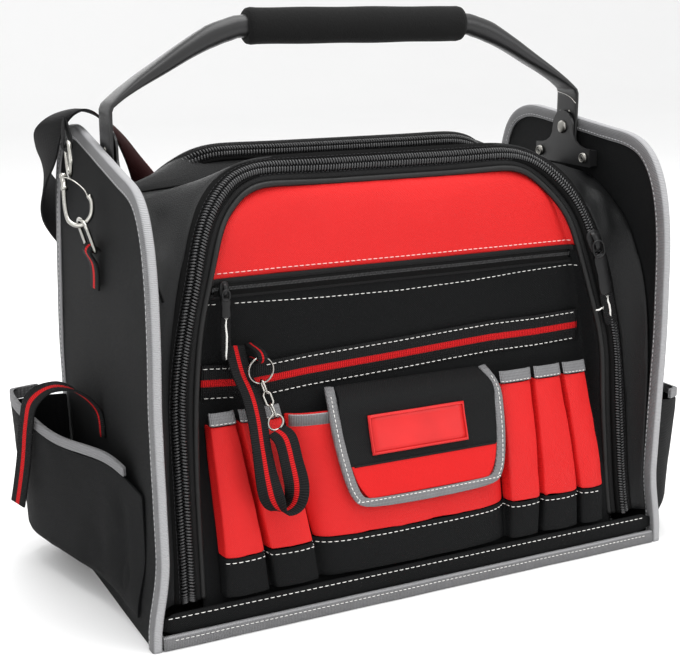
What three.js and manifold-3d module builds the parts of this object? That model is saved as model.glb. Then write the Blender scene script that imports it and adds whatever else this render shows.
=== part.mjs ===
// An open-handled tool bag: two bound end panels, a soft body with two arched zip doors,
// a row of gathered pockets, side pockets, a folding tube handle and a webbing shoulder strap.
// Millimetres, +X to the right, -Y to the front, +Z up, origin on the floor under the handle side.
import * as THREE from 'three';
import { mergeVertices } from 'three/addons/utils/BufferGeometryUtils.js';
import Module from 'manifold-3d';

const wasm = await Module();
wasm.setup();

// Driving dimensions of the end panels; the front of the left one hangs lower and rounder
const bag_width = 420;
const arch_height = 306;
const panel_over_arch = 26;
const panel_height = arch_height + panel_over_arch;
const panel_front = 118;
const panel_rear = 108;
const panel_board = 4;
const panel_lean = 9.8;
const front_corner_run = 54;
const rear_corner_drop = 62;
const rear_corner_run = 52;
const waist_inset = 6;
const strip_height = 24;
const panel_fronts = {
  left: { top_fall: 26, corner_drop: 124 },
  right: { top_fall: 12, corner_drop: 92 },
};

// Driving dimensions of the cloth
const cloth = 2;
const pocket_cloth = 1.6;
const seam_gap = 0.8;
const clearance = 0.4;
const binding_width = 9.5;
const binding_tape = 1.1;
const narrow_binding = 8.5;
const narrow_tape = 2.8;

// Driving dimensions of the arched doors
const zip_margin = 28;
const zip_half = bag_width / 2 - zip_margin;
const gusset_setback = 7;
const gusset_reach = panel_front - gusset_setback;
const zip_setback = 6;
const zip_reach = gusset_reach - zip_setback;
const coil_width = 8.8;
const coil_height = 2.4;
const tape_outside = 7;
const tape_inside = 10;
const gusset_sag = 5;
const top_drop = 16;
const top_height = arch_height - top_drop;
const crown_depth = 69;
const crown_bottom = arch_height - crown_depth;
const slit_width = 9;
const slit_thickness = 2;
const slit_drop = 6.5;
const slit_height = crown_bottom - slit_drop;
const slit_margin = 12;
const slider_width = 9;
const slider_height = 2.2;
const slider_pull = 34;
const slit_slider_width = 7;
const slit_slider_pull = 26;
const pull_thickness = 1.6;
const door_margin = 26;
const door_half = zip_half - door_margin;
const door_bottom = 9;
const rear_fullness = 8;

// Driving dimensions of the base
const base_board = 5;
const base_strip_cloth = 2.5;
const base_binding_height = 9;
const base_binding_depth = 4.5;

// Driving dimensions of the pockets
const webbing_width = 25;
const webbing_thickness = 1.8;
const webbing_drop = 62.5;
const webbing_height = slit_height - webbing_drop;
const pocket_drop = 20;
const pocket_top = webbing_height - pocket_drop;
const boot_top = 54;
const pocket_row_bottom = 26.5;
const flap_margin = 14.2;
const flap_middle = 2;
const flap_over = 4;
const flap_top = pocket_top + flap_over;
const flap_height = 81;
const flap_lift = 4.2;
const flap_cloth = 2.4;
const flap_binding = 7;
const patch_width = 79;
const patch_height = 27;
const patch_drop = 45;
const patch_bottom = flap_top - patch_drop;
const patch_shift = 3.5;
const patch_thickness = 1.4;

// Driving dimensions of the side pockets
const side_pocket_cloth = 1.8;
const side_pocket_bottom = 12;
const left_pocket_mouth = 132;
const left_pocket_fullness = 50;
const right_pocket_mouth = 126;
const right_pocket_fullness = 46;
const side_tape_width = 19;
const side_tape_stand = 5;
const side_tape_swing = 12;
const side_tape_turn = 0.6;

// Driving dimensions of the handle
const handle_middle = 4;
const pivot_over_arch = 12;
const pivot_height = arch_height + pivot_over_arch;
const grip_rise = 82.5;
const grip_length = 177;
const grip_diameter = 26;
const tube_diameter = 16;
const tab_width = 27;
const tab_thickness = 3;
const tab_below_pivot = 14;
const tab_play = 0.9;
const bracket_thickness = 1.6;
const bracket_half_span = 29.5;
const bracket_drop = 22;
const bracket_ear = 7;
const screw_head = 8;
const screw_rise = 1.6;
const screw_pad = 12.6;
const rivet_head = 11;
const rivet_rise = 1.8;
const rivet_shank = 5;

// Driving dimensions of the metal rings and hooks
const link_wire = 2.8;
const link_length = 26;
const link_width = 24;
const hook_wire = 3.4;
const hook_length = 60;
const hook_width = 19;
const hook_play = 1.4;
const hook_eye_length = 22;
const hook_eye_width = 18;
const hook_eye_round = 3;
const hook_eye_shift = 6;
const ring_tab_drop = 82;
const ring_tab_height = panel_height - ring_tab_drop;
const tab_webbing = 19;
const key_inset = 38;
const key_stand = 19;
const key_lift = 7;
const key_tab_width = 7;
const key_tab_thickness = 1.6;
const key_ring_diameter = 20;
const key_wire = 1.8;
const swivel_ring_diameter = 13;

// Driving dimensions of the webbing strap and the wrist loop
const strap_width = 40;
const strap_thickness = 2;
const strap_eye_width = 9;
const strap_eye_stop = 8;
const strap_eye_thickness = 1.6;
const wrist_width = 17;
const wrist_thickness = 1.8;

// The line of the zip: shares of arch_height, zip_half and zip_reach
const zip_line = [
  { rise: 0.085, half: 1.0, reach: 1.0 },
  { rise: 0.157, half: 0.995, reach: 0.96 },
  { rise: 0.36, half: 0.99, reach: 0.885 },
  { rise: 0.533, half: 0.978, reach: 0.83 },
  { rise: 0.68, half: 0.935, reach: 0.762 },
  { rise: 0.781, half: 0.887, reach: 0.722 },
  { rise: 0.856, half: 0.846, reach: 0.66 },
  { rise: 0.902, half: 0.808, reach: 0.6 },
  { rise: 0.948, half: 0.747, reach: 0.524 },
  { rise: 0.983, half: 0.66, reach: 0.465 },
  { rise: 1.0, half: 0.566, reach: 0.438 },
  { rise: 1.0, half: 0.3, reach: 0.438 },
];

// Where the body meets the end panel and the top: shares of arch_height, the inner half width and
// gusset_reach
const gusset_line = [
  { rise: 0.085, across: 1, reach: 1.0 },
  { rise: 0.157, across: 1, reach: 1.0 },
  { rise: 0.36, across: 1, reach: 0.99 },
  { rise: 0.533, across: 1, reach: 0.96 },
  { rise: 0.673, across: 1, reach: 0.885 },
  { rise: 0.758, across: 1, reach: 0.775 },
  { rise: 0.817, across: 1, reach: 0.667 },
  { rise: 0.866, across: 1, reach: 0.505 },
  { rise: 0.902, across: 1, reach: 0.342 },
  { rise: 0.925, across: 1, reach: 0.19 },
  { rise: 0.941, across: 0.72, reach: 0.19 },
  { rise: 0.948, across: 0.36, reach: 0.19 },
];

// How far forward the cloth of the front stands at each height: shares of arch_height and gusset_reach
const door_profile = [
  { rise: 0.0, reach: 0.982 },
  { rise: 0.18, reach: 0.883 },
  { rise: 0.327, reach: 0.766 },
  { rise: 0.48, reach: 0.631 },
  { rise: 0.59, reach: 0.586 },
  { rise: 0.686, reach: 0.595 },
  { rise: 0.771, reach: 0.613 },
  { rise: 0.866, reach: 0.568 },
  { rise: 0.935, reach: 0.514 },
  { rise: 0.961, reach: 0.478 },
];

// The webbing band isn't quite level: at is a share of its half length, rise a share of webbing_width
const webbing_sag = [
  { at: -1.0, rise: -0.08 },
  { at: -0.75, rise: -0.2 },
  { at: -0.5, rise: -0.1 },
  { at: -0.25, rise: -0.04 },
  { at: 0.0, rise: 0.02 },
  { at: 0.25, rise: 0.1 },
  { at: 0.5, rise: 0.16 },
  { at: 0.75, rise: 0.14 },
  { at: 1.0, rise: 0.2 },
];

// How far a full pocket stands out of the door: shares of the pocket row's height and of pocket_fullness
const pocket_fullness = 13;
const pocket_profile = [
  { rise: 0.0, out: 0.55 },
  { rise: 0.12, out: 0.75 },
  { rise: 0.226, out: 0.88 },
  { rise: 0.44, out: 1.0 },
  { rise: 0.7, out: 0.93 },
  { rise: 1.0, out: 0.75 },
];

// The pockets from left to right: edges at the bottom and the top as shares of door_half
const pocket_row = [
  { name: 'pocket_left_outer', from: -1.01, to: -0.793, topFrom: -0.995, topTo: -0.88 },
  { name: 'pocket_left_inner', from: -0.775, to: -0.55, topFrom: -0.862, topTo: -0.66 },
  { name: 'pocket_middle', from: -0.532, to: 0.44, topFrom: -0.63, topTo: 0.475 },
  { name: 'pocket_right_inner', from: 0.458, to: 0.626, topFrom: 0.493, topTo: 0.676 },
  { name: 'pocket_right_middle', from: 0.644, to: 0.862, topFrom: 0.694, topTo: 0.846 },
  { name: 'pocket_right_outer', from: 0.88, to: 1.01, topFrom: 0.864, topTo: 0.995 },
];

// The flap narrows downwards: shares of its height and of flap_half
const flap_shape = [
  { drop: 0.0, half: 0.93 },
  { drop: 0.14, half: 1.0 },
  { drop: 0.5, half: 0.965 },
  { drop: 0.78, half: 0.91 },
  { drop: 0.93, half: 0.84 },
  { drop: 1.0, half: 0.73 },
];

// The folds of the side pockets: along is a share of panel_front or panel_rear, out of the fullness,
// rise of the height of the mouth
const side_pockets = [
  {
    name: 'side_pocket_left', side: -1, fullness: left_pocket_fullness, mouth: left_pocket_mouth,
    folds: [
      { along: -0.74, out: 0.0, rise: 0.8 },
      { along: -0.56, out: 0.1, rise: 0.86 },
      { along: -0.38, out: 0.2, rise: 0.9 },
      { along: -0.13, out: 0.4, rise: 0.885 },
      { along: 0.12, out: 0.6, rise: 0.87 },
      { along: 0.36, out: 0.76, rise: 0.91 },
      { along: 0.6, out: 0.96, rise: 1.0 },
      { along: 0.78, out: 0.9, rise: 1.01 },
      { along: 0.86, out: 0.45, rise: 1.0 },
      { along: 0.885, out: 0.0, rise: 0.98 },
    ],
  },
  {
    name: 'side_pocket_right', side: 1, fullness: right_pocket_fullness, mouth: right_pocket_mouth,
    folds: [
      { along: -0.9, out: 0.0, rise: 0.98 },
      { along: -0.86, out: 0.45, rise: 0.95 },
      { along: -0.76, out: 0.82, rise: 0.92 },
      { along: -0.5, out: 0.78, rise: 0.92 },
      { along: -0.15, out: 0.66, rise: 0.9 },
      { along: 0.2, out: 0.7, rise: 0.93 },
      { along: 0.55, out: 0.85, rise: 0.98 },
      { along: 0.78, out: 0.8, rise: 1.0 },
      { along: 0.86, out: 0.4, rise: 1.0 },
      { along: 0.885, out: 0.0, rise: 0.98 },
    ],
  },
];

// Colours and finishes
const finishes = {
  black_cloth: { color: 0x17181a, roughness: 0.85, metalness: 0 },
  red_cloth: { color: 0xd8171c, roughness: 0.75, metalness: 0 },
  grey_tape: { color: 0x9c9da1, roughness: 0.7, metalness: 0 },
  black_webbing: { color: 0x141415, roughness: 0.8, metalness: 0 },
  black_zip: { color: 0x101011, roughness: 0.45, metalness: 0 },
  black_steel: { color: 0x1a1a1c, roughness: 0.35, metalness: 0.6 },
  black_foam: { color: 0x131313, roughness: 0.95, metalness: 0 },
  bright_steel: { color: 0xb9bbbe, roughness: 0.25, metalness: 1 },
  red_rubber: { color: 0xcf1a1e, roughness: 0.5, metalness: 0 },
};

const bag = new THREE.Group();

function place(name, finish, geometry, group = bag) {
  const mesh = new THREE.Mesh(geometry, new THREE.MeshStandardMaterial(finishes[finish]));
  mesh.name = name;
  group.add(mesh);
  return mesh;
}

function point(x, y, z) {
  return new THREE.Vector3(x, y, z);
}

function lerp(a, b, share) {
  return a + (b - a) * share;
}

// The value of a table column at a height, between its rows
function column(table, key, value, wanted) {
  if (value <= table[0][key]) {
    return table[0][wanted];
  }
  for (let row = 1; row < table.length; row += 1) {
    if (value <= table[row][key]) {
      const span = table[row][key] - table[row - 1][key];
      return lerp(table[row - 1][wanted], table[row][wanted], (value - table[row - 1][key]) / span);
    }
  }
  return table[table.length - 1][wanted];
}

// A closed body from its points and faces, turned so that its faces point out
function body(positions, faces) {
  let volume = 0;
  const corner = (index) => point(...positions.slice(3 * index, 3 * index + 3));
  for (let face = 0; face < faces.length; face += 3) {
    const [a, b, c] = [corner(faces[face]), corner(faces[face + 1]), corner(faces[face + 2])];
    volume += a.dot(b.cross(c));
  }
  if (volume < 0) {
    faces.reverse();
  }
  const geometry = new THREE.BufferGeometry();
  geometry.setAttribute('position', new THREE.Float32BufferAttribute(positions, 3));
  geometry.setIndex(faces);
  geometry.computeVertexNormals();
  return geometry;
}

// A body through rings of points; caps are faces over one ring, without which the rings close on themselves
function loft(rings, caps) {
  const count = rings[0].length;
  const positions = rings.flat().flatMap((corner) => [corner.x, corner.y, corner.z]);
  const faces = [];
  const spans = caps ? rings.length - 1 : rings.length;
  for (let row = 0; row < spans; row += 1) {
    const here = row * count;
    const next = ((row + 1) % rings.length) * count;
    for (let k = 0; k < count; k += 1) {
      const side = (k + 1) % count;
      faces.push(here + k, here + side, next + side, here + k, next + side, next + k);
    }
  }
  const top = (rings.length - 1) * count;
  for (const [a, b, c] of caps ?? []) {
    faces.push(c, b, a, top + a, top + b, top + c);
  }
  return body(positions, faces);
}

// The faces that close a ring drawn as a flat outline
function outlineCaps(outline) {
  const flat = outline.map(([a, b]) => new THREE.Vector2(a, b));
  const anticlockwise = THREE.ShapeUtils.area(flat) > 0;
  const turn = (face) => {
    const [a, b, c] = face.map((index) => flat[index]);
    const area = (b.x - a.x) * (c.y - a.y) - (b.y - a.y) * (c.x - a.x);
    return area > 0 === anticlockwise ? face : [face[0], face[2], face[1]];
  };
  return THREE.ShapeUtils.triangulateShape(flat, []).map(turn);
}

// A cloth wall: rows of points on its middle face, given a thickness
function sheet(rows, thickness) {
  const last = rows[0].length - 1;
  const rings = rows.map((row, r) => {
    const outer = [];
    const inner = [];
    row.forEach((spot, c) => {
      const along = row[Math.min(c + 1, last)].clone().sub(row[Math.max(c - 1, 0)]);
      const up = rows[Math.min(r + 1, rows.length - 1)][c].clone().sub(rows[Math.max(r - 1, 0)][c]);
      const normal = along.cross(up).normalize().multiplyScalar(thickness / 2);
      outer.push(spot.clone().add(normal));
      inner.push(spot.clone().sub(normal));
    });
    return [...outer, ...inner.reverse()];
  });
  const caps = [];
  for (let c = 0; c < last; c += 1) {
    const below = 2 * last + 1 - c;
    caps.push([c, c + 1, below - 1], [c, below - 1, below]);
  }
  return loft(rings, caps);
}

// A section carried along a path: at each stop its first axis is across, its second out
function sweep(stops, outline, closed = false) {
  const rings = stops.map(({ at, across, out }) =>
    outline.map(([a, b]) => at.clone().addScaledVector(across, a).addScaledVector(out, b)));
  return loft(rings, closed ? undefined : outlineCaps(outline));
}

function oblong(width, thickness) {
  const [a, b] = [width / 2, thickness / 2];
  return [[-a, -b], [a, -b], [a, b], [-a, b]];
}

function round(diameter, sides) {
  return Array.from({ length: sides }, (unused, k) => {
    const turn = (2 * Math.PI * (k + 0.5)) / sides;
    return [(diameter / 2) * Math.cos(turn), (diameter / 2) * Math.sin(turn)];
  });
}

// Stops along a path of points; hint gives the direction that the width leans to at each stop
function band(points, hint) {
  return points.map((at, k) => {
    const before = points[Math.max(k - 1, 0)];
    const after = points[Math.min(k + 1, points.length - 1)];
    const along = after.clone().sub(before).normalize();
    const wanted = hint(k, at);
    const across = wanted.clone().addScaledVector(along, -wanted.dot(along)).normalize();
    return { at, across, out: across.clone().cross(along).normalize() };
  });
}

function solid(geometry) {
  const plain = geometry.clone();
  plain.deleteAttribute('normal');
  plain.deleteAttribute('uv');
  const merged = mergeVertices(plain, 1e-4);
  return new wasm.Manifold(new wasm.Mesh({
    numProp: 3,
    vertProperties: new Float32Array(merged.attributes.position.array),
    triVerts: new Uint32Array(merged.index.array),
  }));
}

// Edges shorter than this are taken out of joined bodies
const finest_edge = 0.02;

// How far joined shapes reach into one another
const bite = 0.5;

function fromSolid(body_solid) {
  const mesh = body_solid.simplify(finest_edge).getMesh();
  const geometry = new THREE.BufferGeometry();
  geometry.setAttribute('position', new THREE.BufferAttribute(new Float32Array(mesh.vertProperties), 3));
  geometry.setIndex(new THREE.BufferAttribute(new Uint32Array(mesh.triVerts), 1));
  geometry.computeVertexNormals();
  return geometry;
}

function join(...geometries) {
  return fromSolid(geometries.map(solid).reduce((whole, next) => whole.add(next)));
}


// The end panels: how far the outer face has come in at a height
const lip_depth = panel_board + 2 * clearance + binding_tape;
const waist_middle = 2 * strip_height;
const waist_end = 7 * strip_height;

function panelIn(z) {
  const lean = (panel_lean * z) / panel_height;
  if (z <= strip_height || z >= waist_end) {
    return lean;
  }
  const share = z < waist_middle
    ? (z - strip_height) / (waist_middle - strip_height)
    : (waist_end - z) / (waist_end - waist_middle);
  return lean + waist_inset * share;
}

// A point on an end panel; depth is measured from its outer face towards the inside of the bag
function onPanel(side, depth, y, z) {
  return point(side * (bag_width / 2 - panelIn(z) - depth), y, z);
}

// Half the width of the body's cloth at a height; in front of the board's edge it clears the binding
function bodyHalf(z, y = 0) {
  const beside = Math.abs(y) > panel_front - binding_width - cloth ? lip_depth : panel_board;
  return bag_width / 2 - panelIn(z) - beside - 1.5 * seam_gap;
}

// The outline of a panel in Y and Z from the front foot over the top to the rear foot
const levels = [0, strip_height, waist_middle, 4.5 * strip_height, waist_end];

function panelOutline(side, inset) {
  const { top_fall, corner_drop } = side < 0 ? panel_fronts.left : panel_fronts.right;
  const front = -panel_front + inset;
  const rear = panel_rear - inset;
  const frontTop = panel_height - top_fall - inset;
  const rearTop = panel_height - inset;
  const corner = (start, bend, end) => new THREE.QuadraticBezierCurve(
    new THREE.Vector2(...start), new THREE.Vector2(...bend), new THREE.Vector2(...end));
  const frontCurve = corner([front, frontTop - corner_drop + inset], [front, frontTop],
    [front + front_corner_run - inset, frontTop]);
  const rearCurve = corner(
    [rear - rear_corner_run + inset, rearTop], [rear, rearTop], [rear, rearTop - rear_corner_drop + inset]);
  const points = levels.map((z) => [front, z]);
  points.push(...frontCurve.getPoints(5).map((spot) => [spot.x, spot.y]));
  points.push(...rearCurve.getPoints(5).map((spot) => [spot.x, spot.y]));
  points.push(...levels.slice().reverse().map((z) => [rear, z]));
  return points;
}

function endPanel(side) {
  const top = panelOutline(side, binding_tape + clearance).slice(levels.length, -levels.length);
  const rows = levels.map((z) => top.map(([y]) => [y, z]));
  rows.push(...[0.45, 1].map((share) => top.map(([y, z]) => [y, lerp(waist_end, z, share)])));
  return sheet(rows.map((row) => row.map(([y, z]) => onPanel(side, panel_board / 2, y, z))), panel_board);
}

// The folded tape round the edge of an end panel, open towards the board
function panelBinding(side) {
  const outline = panelOutline(side, 0);
  const stops = outline.map(([y, z], k) => {
    const [y0, z0] = outline[Math.max(k - 1, 0)];
    const [y1, z1] = outline[Math.min(k + 1, outline.length - 1)];
    const inward = point(0, z1 - z0, y0 - y1).normalize();
    return { at: onPanel(side, panel_board / 2, y, z), across: inward, out: point(side, 0, 0) };
  });
  const lip = panel_board / 2 + clearance;
  const face = lip + binding_tape;
  const fold = [
    [0, -face], [binding_width, -face], [binding_width, -lip], [binding_tape, -lip],
    [binding_tape, lip], [binding_width, lip], [binding_width, face], [0, face],
  ];
  return sweep(stops, fold);
}

// The arch of the front: its zip line, and lines a set distance inside or outside it
function archStops() {
  const left = zip_line.map((row) => point(-row.half * zip_half, -row.reach * zip_reach, row.rise * arch_height));
  const right = left.slice().reverse().map((spot) => point(-spot.x, spot.y, spot.z));
  const points = [...left, point(0, -zip_line.at(-1).reach * zip_reach, arch_height), ...right];
  const slopes = zip_line.map((row, k) => {
    const low = zip_line[Math.max(k - 1, 0)];
    const high = zip_line[Math.min(k + 1, zip_line.length - 2)];
    return (zip_reach * (low.reach - high.reach)) / Math.max(arch_height * (high.rise - low.rise), 1);
  });
  slopes[slopes.length - 1] = slopes[slopes.length - 3];
  slopes[slopes.length - 2] = slopes[slopes.length - 3];
  return points.map((at, k) => {
    const before = points[Math.max(k - 1, 0)];
    const after = points[Math.min(k + 1, points.length - 1)];
    const along = after.clone().sub(before).normalize();
    const row = Math.min(k, points.length - 1 - k, slopes.length - 1);
    const facing = point(0, -1, slopes[row]).normalize();
    const across = along.clone().cross(facing).normalize();
    return { at, across, out: across.clone().cross(along).normalize() };
  });
}

const arch = archStops();
const arch_top_stop = zip_line.length;

function archInset(distance) {
  return arch.map(({ at, across }) => at.clone().addScaledVector(across, distance));
}

function zipBand() {
  const lift = cloth / 2;
  const half = coil_width / 2;
  const outline = [
    [-tape_outside, -lift], [tape_inside, -lift], [tape_inside, lift], [half + 0.4, lift],
    [half, lift + coil_height], [-half, lift + coil_height], [-half - 0.4, lift], [-tape_outside, lift],
  ];
  return sweep(arch, outline);
}

// The cloth between the zip and the end panel, and between the zip and the top
function gusset() {
  const inner = archInset(-tape_outside - 2.5 * seam_gap);
  const half = gusset_line.map((row) => {
    const z = row.rise * arch_height;
    const y = -row.reach * gusset_reach;
    return point(-row.across * bodyHalf(z, y), y, z);
  });
  const mirrored = half.slice().reverse().map((spot) => point(-spot.x, spot.y, spot.z));
  const middle = point(0, half.at(-1).y, top_height);
  const outer = [...half, middle, ...mirrored];
  const shares = [0, 0.35, 0.7, 1];
  const rows = outer.map((far, k) => {
    const near = inner[k];
    const sag = gusset_sag * Math.min(1, near.distanceTo(far) / 60);
    return shares.map((share) => {
      const spot = near.clone().lerp(far, share);
      const drop = sag * Math.sin(Math.PI * share);
      return spot.addScaledVector(arch[k].out, -drop);
    });
  });
  return sheet(rows, cloth);
}

function topPanel() {
  const across = [-1, -0.72, -0.36, 0, 0.36, 0.72, 1];
  const front = -gusset_reach * gusset_line.at(-1).reach;
  const edge = (share) => {
    const rise = column([{ at: 0, rise: top_height / arch_height }, ...[...gusset_line].reverse()
      .filter((row) => row.rise > 0.92).map((row) => ({ at: row.across, rise: row.rise }))],
    'at', Math.abs(share), 'rise');
    return rise * arch_height;
  };
  const rows = [-1, 0, 1].map((way) => across.map((share) => {
    const z = edge(share);
    const y = way < 0 ? front + seam_gap + cloth / 2 : -(front * rear_share) - seam_gap - cloth / 2;
    return point(share * bodyHalf(z), way === 0 ? 0 : y, z - (way === 0 ? 1.5 : 0));
  }));
  return sheet(rows, cloth);
}

// The rear is the front turned about, and a little less deep
const rear_share = (panel_rear - (panel_front - gusset_reach)) / gusset_reach;

function toRear(geometry) {
  const turned = geometry.clone().scale(1, -rear_share, 1);
  return body(Array.from(turned.attributes.position.array), Array.from(turned.index.array));
}

function doorReach(z) {
  return -gusset_reach * column(door_profile, 'rise', z / arch_height, 'reach');
}

// One row across a door at a height; its ends lie along the inner edge of the zip tape
const door_edge = archInset(tape_inside + 1.5 * seam_gap).slice(0, arch_top_stop - 1);
const door_shares = [-1, -0.97, -0.84, -0.45, 0, 0.45, 0.84, 0.97, 1];

function doorRow(z, reach) {
  const table = door_edge.map((spot) => ({ z: spot.z, x: spot.x, y: spot.y }));
  const edge = { x: -column(table, 'z', z, 'x'), y: column(table, 'z', z, 'y') };
  const flat = reach(z);
  return door_shares.map((share) => {
    const blend = Math.abs(share) > 0.99 ? 1 : 0;
    return point(share * edge.x, lerp(flat, edge.y, blend), z);
  });
}

const crown_top = door_edge.at(-1).z;

function heights(from, to, count) {
  return Array.from({ length: count }, (unused, k) => lerp(from, to, k / (count - 1)));
}

function lowerDoor() {
  const rows = [door_bottom, 0.18, 0.327, 0.48, 0.59, 0.686].map((z) => (z > 1 ? z : z * arch_height));
  rows.push(crown_bottom - clearance);
  return sheet(rows.map((z) => doorRow(z, doorReach)), cloth);
}

function crown() {
  const edges = door_edge.filter((spot) => spot.z > crown_bottom + 8).map((spot) => spot.z);
  return sheet([crown_bottom, ...edges].map((z) => doorRow(z, doorReach)), cloth);
}

function rearDoor() {
  const edges = door_edge.filter((spot) => spot.z > crown_bottom + 8).map((spot) => spot.z);
  const full = (z) => doorReach(z) - rear_fullness * Math.sin((Math.PI * Math.min(z, crown_top)) / crown_top);
  const rows = [door_bottom, ...[0.18, 0.36, 0.55, 0.7].map((share) => share * arch_height), ...edges];
  return toRear(sheet(rows.map((z) => doorRow(z, full)), cloth));
}

// A strip of cloth lying on the lower door between two heights
function onDoor(z0, z1, half, lift, thickness, sag = () => 0) {
  const shares = [-1, -0.75, -0.5, -0.25, 0, 0.25, 0.5, 0.75, 1];
  return sheet([z0, (z0 + z1) / 2, z1].map((z) => shares.map((share) => {
    const height = z + sag(share);
    return point(share * half, doorReach(height) - cloth / 2 - lift - thickness / 2, height);
  })), thickness);
}

// The wall of the pockets: share runs over one pocket from pleat to pleat
const pleat_shares = [0, 0.06, 0.3, 0.7, 0.94, 1];
const row_height = pocket_top - pocket_row_bottom;

function pocketPoint(pocket, share, z) {
  const rise = (z - pocket_row_bottom) / row_height;
  const from = lerp(pocket.from, pocket.topFrom, rise) * door_half;
  const to = lerp(pocket.to, pocket.topTo, rise) * door_half;
  const full = pocket_fullness * column(pocket_profile, 'rise', rise, 'out');
  const shape = share < 0.03 || share > 0.97 ? 0 : 1 - 0.16 * (Math.abs(share - 0.5) > 0.4 ? 1 : 0);
  const seat = cloth / 2 + clearance + pocket_cloth / 2 + 0.6;
  return point(lerp(from, to, share), doorReach(z) - seat - full * shape, z);
}

function pocketWall(pocket) {
  const rows = heights(boot_top + seam_gap, pocket_top - narrow_binding - seam_gap, 4);
  return sheet(rows.map((z) => pleat_shares.map((share) => pocketPoint(pocket, share, z))), pocket_cloth);
}

function pocketBinding(pocket) {
  const rows = [pocket_top - narrow_binding, pocket_top];
  const shares = [0.04, 0.1, 0.3, 0.7, 0.9, 0.96];
  return sheet(rows.map((z) => shares.map((share) => pocketPoint(pocket, share, z))), narrow_tape);
}

function pocketBoots() {
  const rows = heights(pocket_row_bottom, boot_top, 3);
  return sheet(rows.map((z) => pocket_row.flatMap((pocket) =>
    pleat_shares.map((share) => pocketPoint(pocket, share, z)))), pocket_cloth);
}

// The flap hangs over the mouth of the middle pocket
const middle_pocket = pocket_row[2];
const flap_half = ((middle_pocket.topTo - middle_pocket.topFrom) * door_half) / 2 - flap_margin;

function flapReach(z) {
  const over = pocketPoint(middle_pocket, 0.5, Math.min(z, pocket_top)).y - flap_lift;
  const start = doorReach(flap_top) - cloth / 2 - seam_gap - narrow_tape / 2 - flap_cloth / 2;
  const share = Math.max(0, (z - pocket_top) / (flap_top - pocket_top));
  return lerp(over, start, share * share);
}

function flapEdge(drop, inset) {
  const z = flap_top - drop * flap_height;
  return { z, half: column(flap_shape, 'drop', drop, 'half') * flap_half - inset };
}

function flapCloth() {
  const inset = flap_binding + clearance;
  const lowest = 1 - inset / flap_height;
  const drops = [0, 0.075, 0.14, 0.32, 0.5, 0.78, lowest];
  const shares = [-1, -0.5, 0, 0.5, 1];
  return sheet(drops.map((drop) => {
    const { z, half } = flapEdge(drop, drop === lowest ? 1.6 * inset : inset);
    return shares.map((share) => point(flap_middle + share * half, flapReach(z), z));
  }), flap_cloth);
}

function flapBinding() {
  const side = flap_shape.map((row) => flapEdge(row.drop, flap_binding / 2));
  side[side.length - 1].z += flap_binding / 2;
  side[side.length - 2].z += 1;
  const left = side.map(({ z, half }) => point(flap_middle - half, flapReach(z), z));
  const right = side.slice().reverse().map(({ z, half }) => point(flap_middle + half, flapReach(z), z));
  const path = [...left, ...right];
  const facing = (k, at) => {
    const slope = (flapReach(at.z + 2) - flapReach(at.z - 2)) / 4;
    const before = path[Math.max(k - 1, 0)];
    const after = path[Math.min(k + 1, path.length - 1)];
    const along = after.clone().sub(before).normalize();
    return along.cross(point(0, -1, slope).normalize());
  };
  return sweep(band(path, facing), oblong(flap_binding, narrow_tape + 0.6));
}

function patch() {
  const left = flap_middle - patch_shift - patch_width / 2;
  const lift = flap_cloth / 2 + clearance + patch_thickness / 2;
  return sheet([0, 0.5, 1].map((share) => {
    const z = patch_bottom + share * patch_height;
    return [0, 1].map((way) => point(left + way * patch_width, flapReach(z) - lift, z));
  }), patch_thickness);
}

// The base board with its front and rear strips and their tape
function baseBoard() {
  const half = bag_width / 2 - lip_depth;
  const front = -gusset_reach - cloth / 2;
  const rear = -front * rear_share;
  const board = new THREE.BoxGeometry(2 * half, rear - front, base_board);
  return board.translate(0, (rear + front) / 2, base_board / 2);
}

function baseStrip() {
  const half = bag_width / 2 - panel_lean * (strip_height / panel_height) - lip_depth;
  const y = -gusset_reach - cloth / 2 - clearance - base_strip_cloth / 2;
  const height = strip_height - base_binding_height - clearance;
  const strip = new THREE.BoxGeometry(2 * half, base_strip_cloth, height);
  return strip.translate(0, y, base_binding_height + clearance + height / 2);
}

function baseBinding() {
  const half = bag_width / 2 - lip_depth;
  const outer = -panel_front - 1;
  const profile = new THREE.Shape();
  profile.moveTo(-outer - base_binding_depth, 0);
  profile.lineTo(-outer - 1, 0);
  profile.quadraticCurveTo(-outer, 1, -outer, base_binding_height / 2);
  profile.lineTo(-outer - 1.2, base_binding_height);
  profile.lineTo(-outer - base_binding_depth, base_binding_height);
  profile.closePath();
  const bar = new THREE.ExtrudeGeometry(profile, { depth: 2 * half, bevelEnabled: false, curveSegments: 3 });
  bar.translate(0, 0, -half);
  bar.applyMatrix4(new THREE.Matrix4().makeBasis(point(0, -1, 0), point(0, 0, 1), point(-1, 0, 0)));
  return bar;
}

// The side pockets: rows rise from the bottom seam to the mouth
const side_levels = [side_pocket_bottom, strip_height, waist_middle, 0.28, 0.6, 1];
const side_swell = [
  { at: 0.0, out: 0.0 },
  { at: 0.1, out: 0.7 },
  { at: 0.3, out: 0.88 },
  { at: 0.58, out: 0.98 },
  { at: 0.8, out: 1.02 },
  { at: 1.0, out: 1.0 },
];

// A level under 1 is a share of the way from the waist to the mouth, a higher one a height
function sidePocketPoint(pocket, fold, level) {
  const reach = fold.along < 0 ? panel_front : panel_rear;
  const z = level <= 1 ? lerp(waist_middle, pocket.mouth * fold.rise, level) : level;
  const share = (z - side_pocket_bottom) / (pocket.mouth * fold.rise - side_pocket_bottom);
  const out = pocket.fullness * fold.out * column(side_swell, 'at', share, 'out');
  return onPanel(pocket.side, -out - side_pocket_cloth / 2 - clearance, fold.along * reach, z);
}

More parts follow.
